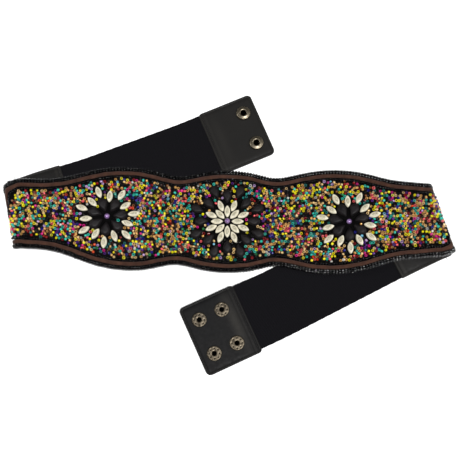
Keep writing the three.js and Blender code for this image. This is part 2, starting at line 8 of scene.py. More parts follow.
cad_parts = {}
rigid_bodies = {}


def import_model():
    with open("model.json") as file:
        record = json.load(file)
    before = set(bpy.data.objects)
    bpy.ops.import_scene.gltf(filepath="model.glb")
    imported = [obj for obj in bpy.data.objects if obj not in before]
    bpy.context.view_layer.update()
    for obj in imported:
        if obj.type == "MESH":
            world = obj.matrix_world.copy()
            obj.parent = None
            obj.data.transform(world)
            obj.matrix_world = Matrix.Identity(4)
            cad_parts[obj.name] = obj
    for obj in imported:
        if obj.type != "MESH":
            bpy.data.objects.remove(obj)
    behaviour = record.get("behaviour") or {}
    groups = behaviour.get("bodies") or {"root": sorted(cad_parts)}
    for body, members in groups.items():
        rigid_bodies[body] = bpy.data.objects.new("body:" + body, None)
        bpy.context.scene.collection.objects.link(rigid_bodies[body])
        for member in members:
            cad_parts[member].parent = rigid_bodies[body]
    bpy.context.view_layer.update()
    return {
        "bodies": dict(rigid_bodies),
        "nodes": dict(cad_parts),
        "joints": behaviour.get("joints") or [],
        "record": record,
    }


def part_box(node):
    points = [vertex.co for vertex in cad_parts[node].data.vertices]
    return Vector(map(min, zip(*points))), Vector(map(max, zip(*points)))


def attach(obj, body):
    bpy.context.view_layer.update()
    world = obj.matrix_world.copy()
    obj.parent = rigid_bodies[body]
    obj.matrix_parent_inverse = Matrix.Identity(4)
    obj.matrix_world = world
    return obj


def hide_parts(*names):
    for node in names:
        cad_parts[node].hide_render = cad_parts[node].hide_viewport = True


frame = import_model()

# Dimensions of the folded belt, in millimetres and degrees, as in the part's source.
# u runs along the flat belt, v across it and w out of the beaded face.
HALF_PANEL = 190
HALF_WIDTH = 41
PANEL_CORNER = 8.7
MIDDLE_HEIGHT = 3.3
MIDDLE_END = 55
MIDDLE_RISE = 95
OUTLINE_LEFT = [
    0.976, 0.967, 0.939, 0.887, 0.839, 0.835, 0.879, 0.934, 0.974, 0.986, 0.976,
    0.946, 0.894, 0.822, 0.746, 0.68, 0.64, 0.621, 0.617, 0.612, 0.612,
]
OUTLINE_RIGHT = [
    0.976, 0.966, 0.94, 0.883, 0.832, 0.835, 0.878, 0.93, 0.971, 0.992, 0.991,
    0.97, 0.929, 0.869, 0.798, 0.737, 0.705, 0.684, 0.662, 0.648, 0.644,
]
FOLD = 3.8
UNDER_HEIGHT = 4.9
FOLD_HEIGHT = UNDER_HEIGHT + FOLD
HEADING = math.radians(-0.97)
AXIS_OFFSET = 0.7
BOW = 0.00688
SIDES = {
    "left": {
        "sign": -1,
        "foldAt": 182.1,
        "lean": 11,
        "turns": [(165, BOW), (225, 0), (265, 0.0325), (340, 0), (370, 0.04), (999, 0)],
        "heights": [(212, UNDER_HEIGHT), (270, -1.05), (350, -1.05), (373.3, -0.05), (424, 2.15)],
        "connectorEnd": 240.5,
        "tabStart": 373.3,
        "tabEnd": 424,
        "tabLow": -30.2,
        "tabHigh": 30.4,
    },
    "right": {
        "sign": 1,
        "foldAt": 179.5,
        "lean": 12.4,
        "turns": [(165, BOW), (215, 0), (255, -0.0475), (340, 0), (370, 0.0767), (999, 0)],
        "heights": [(212, UNDER_HEIGHT), (270, -1.05), (343, -1.05), (371, 3.3), (424.2, 3.3)],
        "connectorEnd": 239,
        "tabStart": 373.4,
        "tabEnd": 424.2,
        "tabLow": -31.6,
        "tabHigh": 30.4,
    },
}
BULGE = 5.2
BULGE_SLOPE = 0.07
STRAP_HALF = 30
ELASTIC_HALF = 29.3
TAB_CORNER = 4.2
SOCKETS = [("left", 411.6, 15.2), ("left", 411.6, -15.2)]
STUDS = [("right", 411.4, 14.8), ("right", 411.4, -16.2), ("right", 390.5, 14.8), ("right", 390.5, -16.2)]
DROP = {"length": 12.2, "width": 8.0, "foot": 1.95, "girdle": 3.8, "top": 5.1, "table": 0.6}
DROP_CENTRE = {"length": 11.6, "width": 7.6, "foot": 1.95, "girdle": 3.8, "top": 5.1, "table": 0.6}
NAVETTE = {"length": 10.5, "width": 5.0, "foot": 1.9, "girdle": 3.6, "top": 5.0, "table": 0.5}
PEARL_RADIUS = 2.35
SIDE_FLOWER = {
    "hollow": 9.0,
    "ivory": [(7, 22.9, 0), (7, 18.2, 0.5)],
    "black": [(7, 11.15, 0)],
    "stone": DROP,
    "pearlFoot": 1.95,
}
CENTRE_FLOWER = {
    "name": "centre",
    "at": (0, -0.7),
    "turn": 0.9,
    "hollow": 16.5,
    "ivory": [(8, 9.0, 0), (8, 15.1, 0.5)],
    "black": [(8, 22.6, 0), (8, 28.4, 0.5)],
    "stone": DROP_CENTRE,
    "pearlFoot": 2.85,
}
FLOWERS = [
    {"name": "left", "at": (-104.1, 0.2), "turn": -93.3, **SIDE_FLOWER},
    CENTRE_FLOWER,
    {"name": "right", "at": (105.2, -1.0), "turn": -88.3, **SIDE_FLOWER},
]


# Map from the flat belt to the folded one
def soft(t):
    t = np.clip(t, 0, 1)
    return t * t * (3 - 2 * t)


def line_of(side, along):
    x = np.zeros_like(along)
    y = np.full_like(along, AXIS_OFFSET)
    heading = np.full_like(along, HEADING)
    at = 0
    for end, turn in side["turns"]:
        length = np.clip(along, at, end) - at
        turned = side["sign"] * math.radians(turn) * length
        chord = length * np.sinc(turned / (2 * math.pi))
        x = x + side["sign"] * chord * np.cos(heading + turned / 2)
        y = y + side["sign"] * chord * np.sin(heading + turned / 2)
        heading = heading + turned
        at = end
    return x, y, heading


def plan_of(side, u, v):
    x, y, heading = line_of(side, np.abs(u))
    return np.stack([x - v * np.sin(heading), y + v * np.cos(heading)], axis=-1)


for side in SIDES.values():
    x, y, heading = line_of(side, np.array([float(side["foldAt"])]))
    out = heading[0] + (math.pi if side["sign"] < 0 else 0) + math.radians(side["lean"])
    side["foldPoint"] = np.array([x[0], y[0]])
    side["across"] = np.array([math.cos(out), math.sin(out)])
    side["along"] = np.array([-side["across"][1], side["across"][0]]) * side["sign"]


def panel_height(u):
    rise = soft((np.abs(u) - MIDDLE_END) / MIDDLE_RISE)
    return MIDDLE_HEIGHT + (FOLD_HEIGHT + FOLD - MIDDLE_HEIGHT) * rise


def strap_height(side, along):
    knots = side["heights"]
    height = np.full_like(along, knots[0][1])
    for i in range(1, len(knots)):
        start, before = knots[i - 1]
        end, after = knots[i]
        t = (along - start) / (end - start)
        last = i == len(knots) - 1
        part = before + (after - before) * (t if last else soft(t))
        height = np.where(along > start, part, height)
    return height


def place_past(side, past, shift, w, u):
    """Place of points past the fold line, given their height on the flat belt."""
    angle = np.clip(past, 0, math.pi * FOLD) / FOLD
    bulge = BULGE - side["sign"] * BULGE_SLOPE * shift
    turning = past < math.pi * FOLD
    reach = np.where(turning, (bulge + w) * np.sin(angle), math.pi * FOLD - past)
    rounded = FOLD_HEIGHT + (FOLD + w) * np.cos(angle)
    height = np.where(turning, rounded, strap_height(side, np.abs(u)) - w)
    flat = side["foldPoint"] + reach[:, None] * side["across"] + shift[:, None] * side["along"]
    return np.column_stack([flat, height])


def of_side(side, x):
    return x < 0 if side["sign"] < 0 else x >= 0


def fold(u, v, w):
    u, v, w = np.broadcast_arrays(np.asarray(u, float), np.asarray(v, float), np.asarray(w, float))
    u, v, w = u.ravel(), v.ravel(), w.ravel()
    result = np.zeros((len(u), 3))
    for side in SIDES.values():
        mine = of_side(side, u)
        plan = plan_of(side, u[mine], v[mine])
        offset = plan - side["foldPoint"]
        past = offset @ side["across"]
        shift = offset @ side["along"]
        flat = np.column_stack([plan, panel_height(u[mine]) + w[mine]])
        round_it = place_past(side, past, shift, w[mine], u[mine])
        result[mine] = np.where((past <= 0)[:, None], flat, round_it)
    return result + SHIFT


# The whole part's shift is read off one solid whose middle is known
SHIFT = np.zeros(3)
low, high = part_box("pearl_centre")
pearl_middle = (np.array(low) + np.array(high)) * 500
SHIFT = pearl_middle - fold(*CENTRE_FLOWER["at"], CENTRE_FLOWER["pearlFoot"] + PEARL_RADIUS)[0]


# Outline of the panel
OUTLINE_STEPS = len(OUTLINE_LEFT) - 1


def half_line(u):
    u = np.asarray(u, float)
    t = np.clip(np.abs(u) / HALF_PANEL, 0, 1) * OUTLINE_STEPS
    i = np.minimum(np.floor(t).astype(int), OUTLINE_STEPS - 1)
    f = t - i
    value = np.zeros_like(u)
    for table, mine in ((OUTLINE_LEFT, u < 0), (OUTLINE_RIGHT, u >= 0)):
        knots = (np.clip(np.abs(i + k), 0, OUTLINE_STEPS) for k in (-1, 0, 1, 2))
        before, here, after, beyond = (np.array(table)[k] for k in knots)
        slope = (after - before) / 2
        next_slope = (beyond - here) / 2
        curve = (
            (2 * f**3 - 3 * f**2 + 1) * here
            + (f**3 - 2 * f**2 + f) * slope
            + (3 * f**2 - 2 * f**3) * after
            + (f**3 - f**2) * next_slope
        )
        value = np.where(mine, curve, value)
    return HALF_WIDTH * value


def half_width(u, out):
    u = np.asarray(u, float)
    slope = half_line(u + 0.5) - half_line(u - 0.5)
    half = half_line(u) + out * np.hypot(1, slope)
    corner = PANEL_CORNER + out
    into = np.maximum(0, np.abs(u) - (HALF_PANEL - PANEL_CORNER))
    inside = into < corner
    cut = corner - np.sqrt(np.maximum(0, corner**2 - into**2))
    return np.where(inside, half - cut, -1)


# Lace line all round the panel: places u, v and the way out at each
def lace_line():
    corner_start = HALF_PANEL - PANEL_CORNER
    points = []
    for end in (1, -1):
        straight = np.arange(-corner_start, corner_start, 1.0)
        points += [(end * u, end * float(half_line(end * u))) for u in straight]
        half = float(half_line(end * corner_start))
        corner = [
            (corner_start + PANEL_CORNER * math.sin(a), half - PANEL_CORNER * (1 - math.cos(a)))
            for a in np.radians(np.arange(0, 90, 6))
        ]
        flat = half - PANEL_CORNER
        points += [(end * x, end * y) for x, y in corner]
        points += [(end * HALF_PANEL, end * y) for y in np.arange(flat, -flat, -1.0)]
        points += [(end * x, -end * y) for x, y in corner[::-1]]
    line = np.array(points)
    ahead = np.roll(line, -1, axis=0) - np.roll(line, 1, axis=0)
    ahead /= np.linalg.norm(ahead, axis=1)[:, None]
    outward = np.column_stack([-ahead[:, 1], ahead[:, 0]])
    return line, outward


def beside(line, outward, out):
    """u and v of places at a distance out from the lace line."""
    return line[:, 0] + outward[:, 0] * out, line[:, 1] + outward[:, 1] * out


def spaced_lace_line(pitch, out, w):
    """Stations on the lace line, spaced evenly on the folded belt."""
    line, outward = lace_line()
    line = np.vstack([line, line[:1]])
    outward = np.vstack([outward, outward[:1]])
    place = fold(*beside(line, outward, out), w)
    run = np.concatenate([[0], np.cumsum(np.linalg.norm(np.diff(place, axis=0), axis=1))])
    count = int(round(run[-1] / pitch))
    at = np.arange(count) * run[-1] / count
    spaced = [np.interp(at, run, column) for column in (*line.T, *outward.T)]
    return np.column_stack(spaced[:2]), np.column_stack(spaced[2:])


# Meshes
def add_object(name, verts, faces, materials, node, kinds=None):
    """Piece of the scene; kinds gives each face its number in the list of materials."""
    mesh = bpy.data.meshes.new(name)
    mesh.from_pydata((np.asarray(verts) * 0.001).tolist(), [], faces)
    for one in materials:
        mesh.materials.append(one)
    if kinds is not None:
        mesh.polygons.foreach_set("material_index", kinds)
    mesh.polygons.foreach_set("use_smooth", [True] * len(mesh.polygons))
    mesh.update()
    thing = bpy.data.objects.new(name, mesh)
    bpy.context.scene.collection.objects.link(thing)
    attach(thing, "root")
    if node:
        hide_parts(node)
    return thing


def give_flat_places(thing, flat):
    """UV map that holds the place on the flat belt, in centimetres."""
    mesh = thing.data
    layer = mesh.uv_layers.new(name="flat")
    corners = np.zeros(len(mesh.loops), dtype=int)
    mesh.loops.foreach_get("vertex_index", corners)
    layer.data.foreach_set("uv", (np.asarray(flat)[corners] * 0.1).ravel())


def grid_faces(rows, columns, closed=False):
    faces = []
    for i in range(rows - 1):
        for j in range(columns if closed else columns - 1):
            k = (j + 1) % columns
            faces.append((i * columns + j, i * columns + k, (i + 1) * columns + k, (i + 1) * columns + j))
    return faces


def capped_faces(rows, columns):
    """Faces of a tube with both ends closed."""
    faces = grid_faces(rows, columns, closed=True)
    faces.append(tuple(range(columns - 1, -1, -1)))
    faces.append(tuple((rows - 1) * columns + j for j in range(columns)))
    return faces


def loop_faces(rows, columns):
    """Faces of a tube whose last row joins its first."""
    last = (rows - 1) * columns
    joint = [(last + j, last + (j + 1) % columns, (j + 1) % columns, j) for j in range(columns)]
    return grid_faces(rows, columns, closed=True) + joint


def shifted(faces, shift):
    return [tuple(i + shift for i in face) for face in faces]


# Materials
def linear(rgb):
    return tuple(((c / 255) / 12.92 if c <= 10 else ((c / 255 + 0.055) / 1.055) ** 2.4) for c in rgb)


def new_material(name, roughness, metallic, specular):
    material = bpy.data.materials.new(name)
    material.use_nodes = True
    tree = material.node_tree
    shader = tree.nodes["Principled BSDF"]
    shader.inputs["Roughness"].default_value = roughness
    shader.inputs["Metallic"].default_value = metallic
    shader.inputs["Specular IOR Level"].default_value = specular
    return material, tree, shader


def place_node(tree, kind="Object"):
    return tree.nodes.new("ShaderNodeTexCoord").outputs[kind]


def noise_node(tree, vector, scale, detail=2.0, roughness=0.5):
    noise = tree.nodes.new("ShaderNodeTexNoise")
    noise.inputs["Scale"].default_value = scale
    noise.inputs["Detail"].default_value = detail
    noise.inputs["Roughness"].default_value = roughness
    tree.links.new(vector, noise.inputs["Vector"])
    return noise.outputs["Fac"]


def ramp_node(tree, factor, stops):
    ramp = tree.nodes.new("ShaderNodeValToRGB")
    elements = ramp.color_ramp.elements
    while len(elements) < len(stops):
        elements.new(0.5)
    for element, (position, colour) in zip(elements, stops):
        element.position = position
        element.color = (*colour, 1)
    tree.links.new(factor, ramp.inputs["Fac"])
    return ramp.outputs["Color"]


def range_node(tree, factor, low, high):
    change = tree.nodes.new("ShaderNodeMapRange")
    change.inputs["From Min"].default_value = 0.3
    change.inputs["From Max"].default_value = 0.7
    change.inputs["To Min"].default_value = low
    change.inputs["To Max"].default_value = high
    tree.links.new(factor, change.inputs["Value"])
    return change.outputs["Result"]


def bump_node(tree, shader, height, depth_mm, strength):
    bump = tree.nodes.new("ShaderNodeBump")
    bump.inputs["Strength"].default_value = strength
    bump.inputs["Distance"].default_value = depth_mm * 0.001
    tree.links.new(height, bump.inputs["Height"])
    old = shader.inputs["Normal"]
    if old.is_linked:
        tree.links.new(old.links[0].from_socket, bump.inputs["Normal"])
    tree.links.new(bump.outputs["Normal"], old)


def wave_node(tree, vector, direction, scale, distortion):
    wave = tree.nodes.new("ShaderNodeTexWave")
    wave.bands_direction = direction
    wave.inputs["Scale"].default_value = scale
    wave.inputs["Distortion"].default_value = distortion
    tree.links.new(vector, wave.inputs["Vector"])
    return wave.outputs["Fac"]


def colour_by(tree, shader, factor, stops):
    """Base colour that follows a factor, through stops of a share and a colour."""
    colour = ramp_node(tree, factor, [(share, linear(rgb)) for share, rgb in stops])
    tree.links.new(colour, shader.inputs["Base Color"])


def cloudy_material(name, base, cloud, stops, gloss=None, bump=None, extras=None):
    """Material whose colour and gloss follow one noise, with another noise as its bump."""
    material, tree, shader = new_material(name, *base)
    vector = place_node(tree)
    factor = noise_node(tree, vector, *cloud)
    colour_by(tree, shader, factor, stops)
    if gloss:
        tree.links.new(range_node(tree, factor, *gloss), shader.inputs["Roughness"])
    if bump:
        noise, depth, strength = bump
        bump_node(tree, shader, noise_node(tree, vector, *noise), depth, strength)
    for key, value in (extras or {}).items():
        shader.inputs[key].default_value = value
    return material


def shade(rgb, share):
    return tuple(c * share for c in rgb)


def bead_material(name, rgb, roughness, metallic, spread, coat, specular):
    """Glazed glass; spread is how much the colour varies, and coat the glaze's index."""
    material, tree, shader = new_material(name, roughness, metallic, specular)
    colour = linear(rgb)
    vector = place_node(tree)
    tint = noise_node(tree, vector, 330, 1.0)
    stops = [(0.3, shade(colour, 1 - spread)), (0.5, colour), (0.7, shade(colour, 1 + spread * 0.5))]
    tree.links.new(ramp_node(tree, tint, stops), shader.inputs["Base Color"])
    gloss = noise_node(tree, vector, 900, 2.0)
    tree.links.new(range_node(tree, gloss, roughness * 0.7, roughness * 1.35), shader.inputs["Roughness"])
    shader.inputs["Coat Weight"].default_value = 1.0
    shader.inputs["Coat Roughness"].default_value = 0.1
    shader.inputs["Coat IOR"].default_value = coat
    return material


# Bead colours: name, colour, share of the beads, roughness, metallic
BEAD_COLOURS = [
    ("tan", (232, 174, 94), 20, 0.22, 0.3),
    ("pale_gold", (244, 206, 140), 9.5, 0.22, 0.3),
    ("brown_gold", (140, 82, 30), 5, 0.22, 0.35),
    ("yellow", (238, 226, 8), 16, 0.18, 0.0),
    ("turquoise", (42, 188, 166), 12, 0.18, 0.0),
    ("teal", (6, 110, 106), 7, 0.16, 0.0),
    ("dark_red", (140, 5, 14), 5, 0.15, 0.0),
    ("coral", (240, 94, 98), 4.5, 0.18, 0.0),
    ("magenta", (212, 18, 128), 3, 0.18, 0.0),
    ("blue", (20, 20, 138), 4, 0.15, 0.0),
    ("purple", (88, 30, 134), 3, 0.16, 0.0),
    ("lilac", (196, 162, 216), 2.5, 0.18, 0.1),
    ("orange", (226, 66, 16), 1.5, 0.18, 0.0),
    ("sky", (110, 178, 206), 1, 0.18, 0.0),
    ("green", (38, 140, 70), 1.2, 0.18, 0.0),
    ("white", (200, 198, 190), 2, 0.18, 0.1),
    ("bronze", (66, 30, 14), 4, 0.18, 0.3),
    ("smoke", (5, 4, 5), 25, 0.1, 0.0),
]

bead_materials = []
for name, rgb, _, roughness, metallic in BEAD_COLOURS:
    coat, specular = (1.4, 0.15) if name == "smoke" else (1.6, 0.5)
    bead_materials.append(bead_material(f"bead_{name}", rgb, roughness, metallic, 0.3, coat, specular))
black_bead = bead_material("bead_black", (2, 2, 3), 0.12, 0.0, 0.25, 1.28, 0.1)
# Copy of the black bead with a brighter glaze, put where the edging should glint: painted highlight
glint_bead = bead_material("bead_black_painted_glint", (3, 3, 4), 0.12, 0.0, 0.25, 1.75, 0.2)


def leather_material():
    material, tree, shader = new_material("strap_leather", 0.5, 0, 0.08)
    vector = place_node(tree)
    cloud = noise_node(tree, vector, 28, 3.0)
    stops = [(0.3, linear((17, 17, 18))), (0.7, linear((22, 21, 21)))]
    # The sheen_and_rim attribute mixes in a lighter brown: painted highlights beside the seams, a lightening
    # all over some pieces, and a lighter rim
    lightening = tree.nodes.new("ShaderNodeAttribute")
    lightening.attribute_name = "sheen_and_rim"
    blend = tree.nodes.new("ShaderNodeMix")
    blend.data_type = "RGBA"
    # Inputs 0, 6 and 7 of a colour mix are its factor and its two colours
    tree.links.new(lightening.outputs["Fac"], blend.inputs[0])
    tree.links.new(ramp_node(tree, cloud, stops), blend.inputs[6])
    # Lighter brown of the painted highlights, the lightening and the lighter rim
    blend.inputs[7].default_value = (*linear((60, 58, 54)), 1)
    tree.links.new(blend.outputs[2], shader.inputs["Base Color"])
    grain = tree.nodes.new("ShaderNodeTexVoronoi")
    grain.inputs["Scale"].default_value = 1300
    tree.links.new(vector, grain.inputs["Vector"])
    bump_node(tree, shader, grain.outputs["Distance"], 0.05, 0.5)
    bump_node(tree, shader, noise_node(tree, vector, 160, 4.0), 0.12, 0.4)
    rub = noise_node(tree, vector, 420, 3.0)
    tree.links.new(range_node(tree, rub, 0.42, 0.58), shader.inputs["Roughness"])
    return material


def elastic_material():
    material, tree, shader = new_material("ribbed_elastic", 0.8, 0, 0.06)
    flat = place_node(tree, "UV")
    rib = wave_node(tree, flat, "Y", 3.1, 0.25)
    yarn = wave_node(tree, flat, "X", 5.2, 0.6)
    # Stripes that follow the ribs, darker in their grooves: the weave's own tone and painted shade
    colour_by(tree, shader, rib, [(0.15, (7, 7, 9)), (0.85, (20, 19, 23))])
    bump_node(tree, shader, yarn, 0.12, 0.6)
    bump_node(tree, shader, rib, 0.22, 0.8)
    fuzz = noise_node(tree, place_node(tree), 2200, 2.0)
    tree.links.new(range_node(tree, fuzz, 0.72, 0.9), shader.inputs["Roughness"])
    shader.inputs["Sheen Weight"].default_value = 0.04
    return material


def felt_material(name, low, high, specular):
    fibre = (900, 4.0, 0.7)
    stops = [(0.3, low), (0.7, high)]
    return cloudy_material(name, (0.95, 0, specular), fibre, stops, bump=(fibre, 0.15, 0.8))


def ivory_material(name, tones):
    stops = list(zip((0.3, 0.46, 0.6, 0.75), tones))
    glow = {"Subsurface Weight": 0.08, "Subsurface Radius": (0.001, 0.0009, 0.0007)}
    grain = ((1100, 3.0), 0.03, 0.5)
    return cloudy_material(name, (0.3, 0, 0.4), (900, 5.0, 0.8), stops, (0.24, 0.42), grain, glow)


def metal_material(name, dark, light, low, high):
    stops = [(0.3, dark), (0.62, light)]
    grain = ((1900, 3.0), 0.02, 0.6)
    return cloudy_material(name, (low, 1.0, 0.5), (520, 4.0, 0.6), stops, (high, low), grain)


leather = leather_material()
elastic_weave = elastic_material()
suede = cloudy_material(
    "brown_suede", (0.9, 0, 0.2), (240, 4.0),
    [(0.25, (48, 29, 21)), (0.55, (64, 40, 30)), (0.8, (80, 51, 39))],
    bump=((1500, 4.0, 0.7), 0.12, 0.7), extras={"Sheen Weight": 0.08, "Sheen Roughness": 0.5},
)
felt = felt_material("backing_felt", (4, 4, 4), (11, 10, 10), 0.05)
# Near-black matte for the bottom of the snaps' holes: painted shade
hollow = felt_material("hole_painted_shade", (0.5, 0.5, 0.5), (2, 2, 2), 0.0)
thread = cloudy_material(
    "black_thread", (0.6, 0, 0.3), (2500, 2.0), [(0.3, (12, 12, 13)), (0.7, (32, 31, 30))],
    bump=((2500, 2.0), 0.05, 0.6),
)
ivory = ivory_material(
    "marbled_ivory", [(190, 184, 158), (224, 218, 194), (236, 230, 208), (228, 219, 188)]
)
ivory_table = ivory_material(
    "marbled_table", [(88, 85, 70), (156, 150, 128), (204, 197, 172), (188, 178, 148)]
)
black_stone = cloudy_material(
    "satin_black_stone", (0.42, 0, 0.12), (300, 4.0), [(0.3, (17, 15, 16)), (0.7, (31, 28, 29))],
    (0.36, 0.52), ((1300, 3.0), 0.03, 0.5),
)
pearl_coat = cloudy_material(
    "purple_pearl", (0.2, 0.45, 0.7), (380, 3.0),
    [(0.3, (124, 90, 146)), (0.6, (164, 132, 186)), (0.8, (190, 164, 206))],
    (0.16, 0.3), extras={"Coat Weight": 1.0, "Coat Roughness": 0.05},
)
antique = metal_material("antique_metal", (62, 56, 47), (132, 123, 106), 0.3, 0.5)
pewter = metal_material("dull_pewter", (46, 41, 34), (98, 90, 77), 0.38, 0.6)
patina = metal_material("dark_patina", (6, 5, 4), (22, 18, 14), 0.5, 0.7)


# Beads: radius, length, hole, steps round the bead and round its section
SEED_SHAPE = (1.15, 1.6, 0.68, 11, 6)
INNER_SHAPE = (1.25, 1.8, 0.4, 10, 6)
EDGE_SHAPE = (1.24, 1.9, 0.4, 10, 6)


def bead_mesh(radius, length, hole, around, section):
    """Rounded ring about z, as points and faces."""
    ring = []
    for k in range(section):
        a = 2 * math.pi * k / section
        across = (radius - hole) / 2
        r = (radius + hole) / 2 + across * math.copysign(abs(math.cos(a)) ** 0.8, math.cos(a))
        h = length / 2 * math.copysign(abs(math.sin(a)) ** 0.8, math.sin(a))
        ring.append((r, h))
    points = []
    for i in range(around):
        b = 2 * math.pi * i / around
        points += [(r * math.cos(b), r * math.sin(b), h) for r, h in ring]
    faces = []
    for i in range(around):
        j = (i + 1) % around
        for k in range(section):
            m = (k + 1) % section
            faces.append((i * section + k, j * section + k, j * section + m, i * section + m))
    return np.array(points), np.array(faces)


def turned_frames(axes, spins):
    """Matrices whose third column is each axis, turned about it by each spin."""
    axes = axes / np.linalg.norm(axes, axis=1)[:, None]
    helper = np.where(np.abs(axes[:, 2:3]) < 0.9, [[0, 0, 1.0]], [[1.0, 0, 0]])
    first = np.cross(helper, axes)
    first /= np.linalg.norm(first, axis=1)[:, None]
    second = np.cross(axes, first)
    c, s = np.cos(spins)[:, None], np.sin(spins)[:, None]
    return np.stack([c * first + s * second, c * second - s * first, axes], axis=2)


def tilted_axes(frame, turn, lift):
    """Axes turned on the beaded face and lifted off it."""
    ahead, across, up = frame
    level = np.cos(turn)[:, None] * ahead + np.sin(turn)[:, None] * across
    return np.cos(lift)[:, None] * level + np.sin(lift)[:, None] * up


def beads_object(name, places, axes, spins, sizes, kinds, shape, materials, node):
    points, faces = bead_mesh(*shape)
    frames = turned_frames(axes, spins)
    scaled = points[None, :, :] * sizes[:, None, :]
    verts = np.einsum("nij,nkj->nki", frames, scaled) + places[:, None, :]
    every = faces[None, :, :] + (np.arange(len(places)) * len(points))[:, None, None]
    face_kinds = np.repeat(kinds, len(faces)).tolist()
    add_object(name, verts.reshape(-1, 3), every.reshape(-1, 4).tolist(), materials, node, face_kinds)


# Chart of the beaded face with its true spacing, so that beads stay as close in the folds
SEED_HEIGHT = 3.15
CHART_STEPS = 48


def chart_table(side, shift):
    """Run over the outside of the fold, for each step of its angle."""
    bulge = BULGE - side["sign"] * BULGE_SLOPE * shift
    angles = np.linspace(0, math.pi, CHART_STEPS + 1)
    x = (bulge[:, None] + SEED_HEIGHT) * np.sin(angles)[None, :]
    z = np.broadcast_to((FOLD + SEED_HEIGHT) * np.cos(angles)[None, :], x.shape)
    steps = np.hypot(np.diff(x, axis=1), np.diff(z, axis=1))
    return angles, np.concatenate([np.zeros((len(shift), 1)), np.cumsum(steps, axis=1)], axis=1)


def unchart(points, side):
    """Flat plan place of chart points of one side."""
    offset = points - side["foldPoint"]
    run = offset @ side["across"]
    shift = offset @ side["along"]
    angles, table = chart_table(side, shift)
    past = run.copy()
    for i in range(len(run)):
        if run[i] > table[i, -1]:
            past[i] = math.pi * FOLD + run[i] - table[i, -1]
        elif run[i] > 0:
            past[i] = FOLD * np.interp(run[i], table[i], angles)
    return side["foldPoint"] + past[:, None] * side["across"] + shift[:, None] * side["along"]


def flat_of(plan, side):
    """u and v of flat plan points, by a few steps along and across the belt's line."""
    along = np.abs(plan[:, 0])
    for _ in range(5):
        x, y, heading = line_of(side, along)
        ahead = (plan[:, 0] - x) * np.cos(heading) + (plan[:, 1] - y) * np.sin(heading)
        along = np.maximum(0, along + side["sign"] * ahead)
    x, y, heading = line_of(side, along)
    v = -(plan[:, 0] - x) * np.sin(heading) + (plan[:, 1] - y) * np.cos(heading)
    return side["sign"] * along, v


def flat_from_chart(points):
    u = np.zeros(len(points))
    v = np.zeros(len(points))
    for side in SIDES.values():
        mine = of_side(side, points[:, 0])
        u[mine], v[mine] = flat_of(unchart(points[mine], side), side)
    return u, v


# Outlines of the stones on the flat belt
def navette_outline(length, width, count):
    points = []
    for i in range(count):
        a = 2 * math.pi * i / count
        c, s = math.cos(a), math.sin(a)
        points.append((length / 2 * c, width / 2 * math.copysign(abs(s) ** 1.55, s)))
    return points


def drop_outline(length, width, count):
    points = []
    for i in range(count):
        a = 2 * math.pi * i / count
        c, s = math.cos(a), math.sin(a)
        taper = np.interp(c, [-1, -0.8, -0.35, 0, 0.3, 1], [0.34, 0.52, 0.78, 0.98, 1.08, 1.1])
        points.append((length / 2 * c, width / 2 * s * taper))
    return points


def ring_places(flower, ring):
    count, radius, share = ring
    places = []
    for i in range(count):
        angle = math.radians(flower["turn"]) + 2 * math.pi * (i + share) / count
        middle = (flower["at"][0] + radius * math.cos(angle), flower["at"][1] + radius * math.sin(angle))
        places.append((middle, angle))
    return places


def placed(outline, place):
    (mx, my), angle = place
    c, s = math.cos(angle), math.sin(angle)
    return np.array([(mx + x * c - y * s, my + x * s + y * c) for x, y in outline])


def distance_to(polygon, points):
    """Signed distance of points to a polygon, negative inside."""
    start = polygon
    step = np.roll(polygon, -1, axis=0) - polygon
    rel = points[:, None, :] - start[None, :, :]
    t = np.clip(np.sum(rel * step, axis=2) / np.sum(step * step, axis=1), 0, 1)
    near = np.linalg.norm(rel - t[:, :, None] * step, axis=2).min(axis=1)
    ends = start + step
    crosses = (start[None, :, 1] > points[:, None, 1]) != (ends[None, :, 1] > points[:, None, 1])
    safe = np.where(np.abs(step[:, 1]) < 1e-12, 1e-12, step[:, 1])
    x = start[None, :, 0] + (points[:, None, 1] - start[None, :, 1]) * (step[:, 0] / safe)[None, :]
    inside = (crosses & (points[:, None, 0] < x)).sum(axis=1) % 2 == 1
    return np.where(inside, -near, near)


stones = []
for flower in FLOWERS:
    for ring in flower["ivory"]:
        for place in ring_places(flower, ring):
            stones.append(placed(navette_outline(NAVETTE["length"], NAVETTE["width"], 14), place))
    for ring in flower["black"]:
        for place in ring_places(flower, ring):
            size = flower["stone"]
            stones.append(placed(drop_outline(size["length"], size["width"], 14), place))


def room_for_bead(points):
    """Which chart points have room for a coloured bead."""
    u, v = flat_from_chart(points)
    edge = half_width(u, -4.65)
    free = (np.abs(v) < edge) & (edge > 0)
    flat = np.column_stack([u, v])
    for flower in FLOWERS:
        off = np.hypot(u - flower["at"][0], v - flower["at"][1])
        free &= off > flower["hollow"]
    for outline in stones:
        near = np.linalg.norm(flat - outline.mean(axis=0), axis=1) < 9
        if near.any():
            index = np.where(near)[0]
            free[index] &= distance_to(outline, flat[index]) > 0.95
    return free


def relax(points, spacing, rounds, strength=0.5):
    for _ in range(rounds):
        tree = kdtree.KDTree(len(points))
        for i, (x, y) in enumerate(points):
            tree.insert((x, y, 0), i)
        tree.balance()
        moved = points.copy()
        for i, (x, y) in enumerate(points):
            for co, j, d in tree.find_range((x, y, 0), spacing):
                if j != i and d > 1e-6:
                    push = strength * (spacing - d) / 2
                    moved[i, 0] += (x - co[0]) / d * push
                    moved[i, 1] += (y - co[1]) / d * push
        points = moved
    return points


def scatter_seeds(seed, spacing):
    dice = np.random.default_rng(seed)
    points = []
    row = 0
    y = -50.0
    while y < 50:
        x = -235 + (row % 2) * spacing / 2
        while x < 235:
            points.append((x, y))
            x += spacing
        y += spacing * 0.866
        row += 1
    points = np.array(points) + dice.uniform(-0.42, 0.42, (len(points), 2)) * spacing
    points = points[room_for_bead(points)]
    points = relax(points, spacing * 1.0, 7)
    return points[room_for_bead(points)]


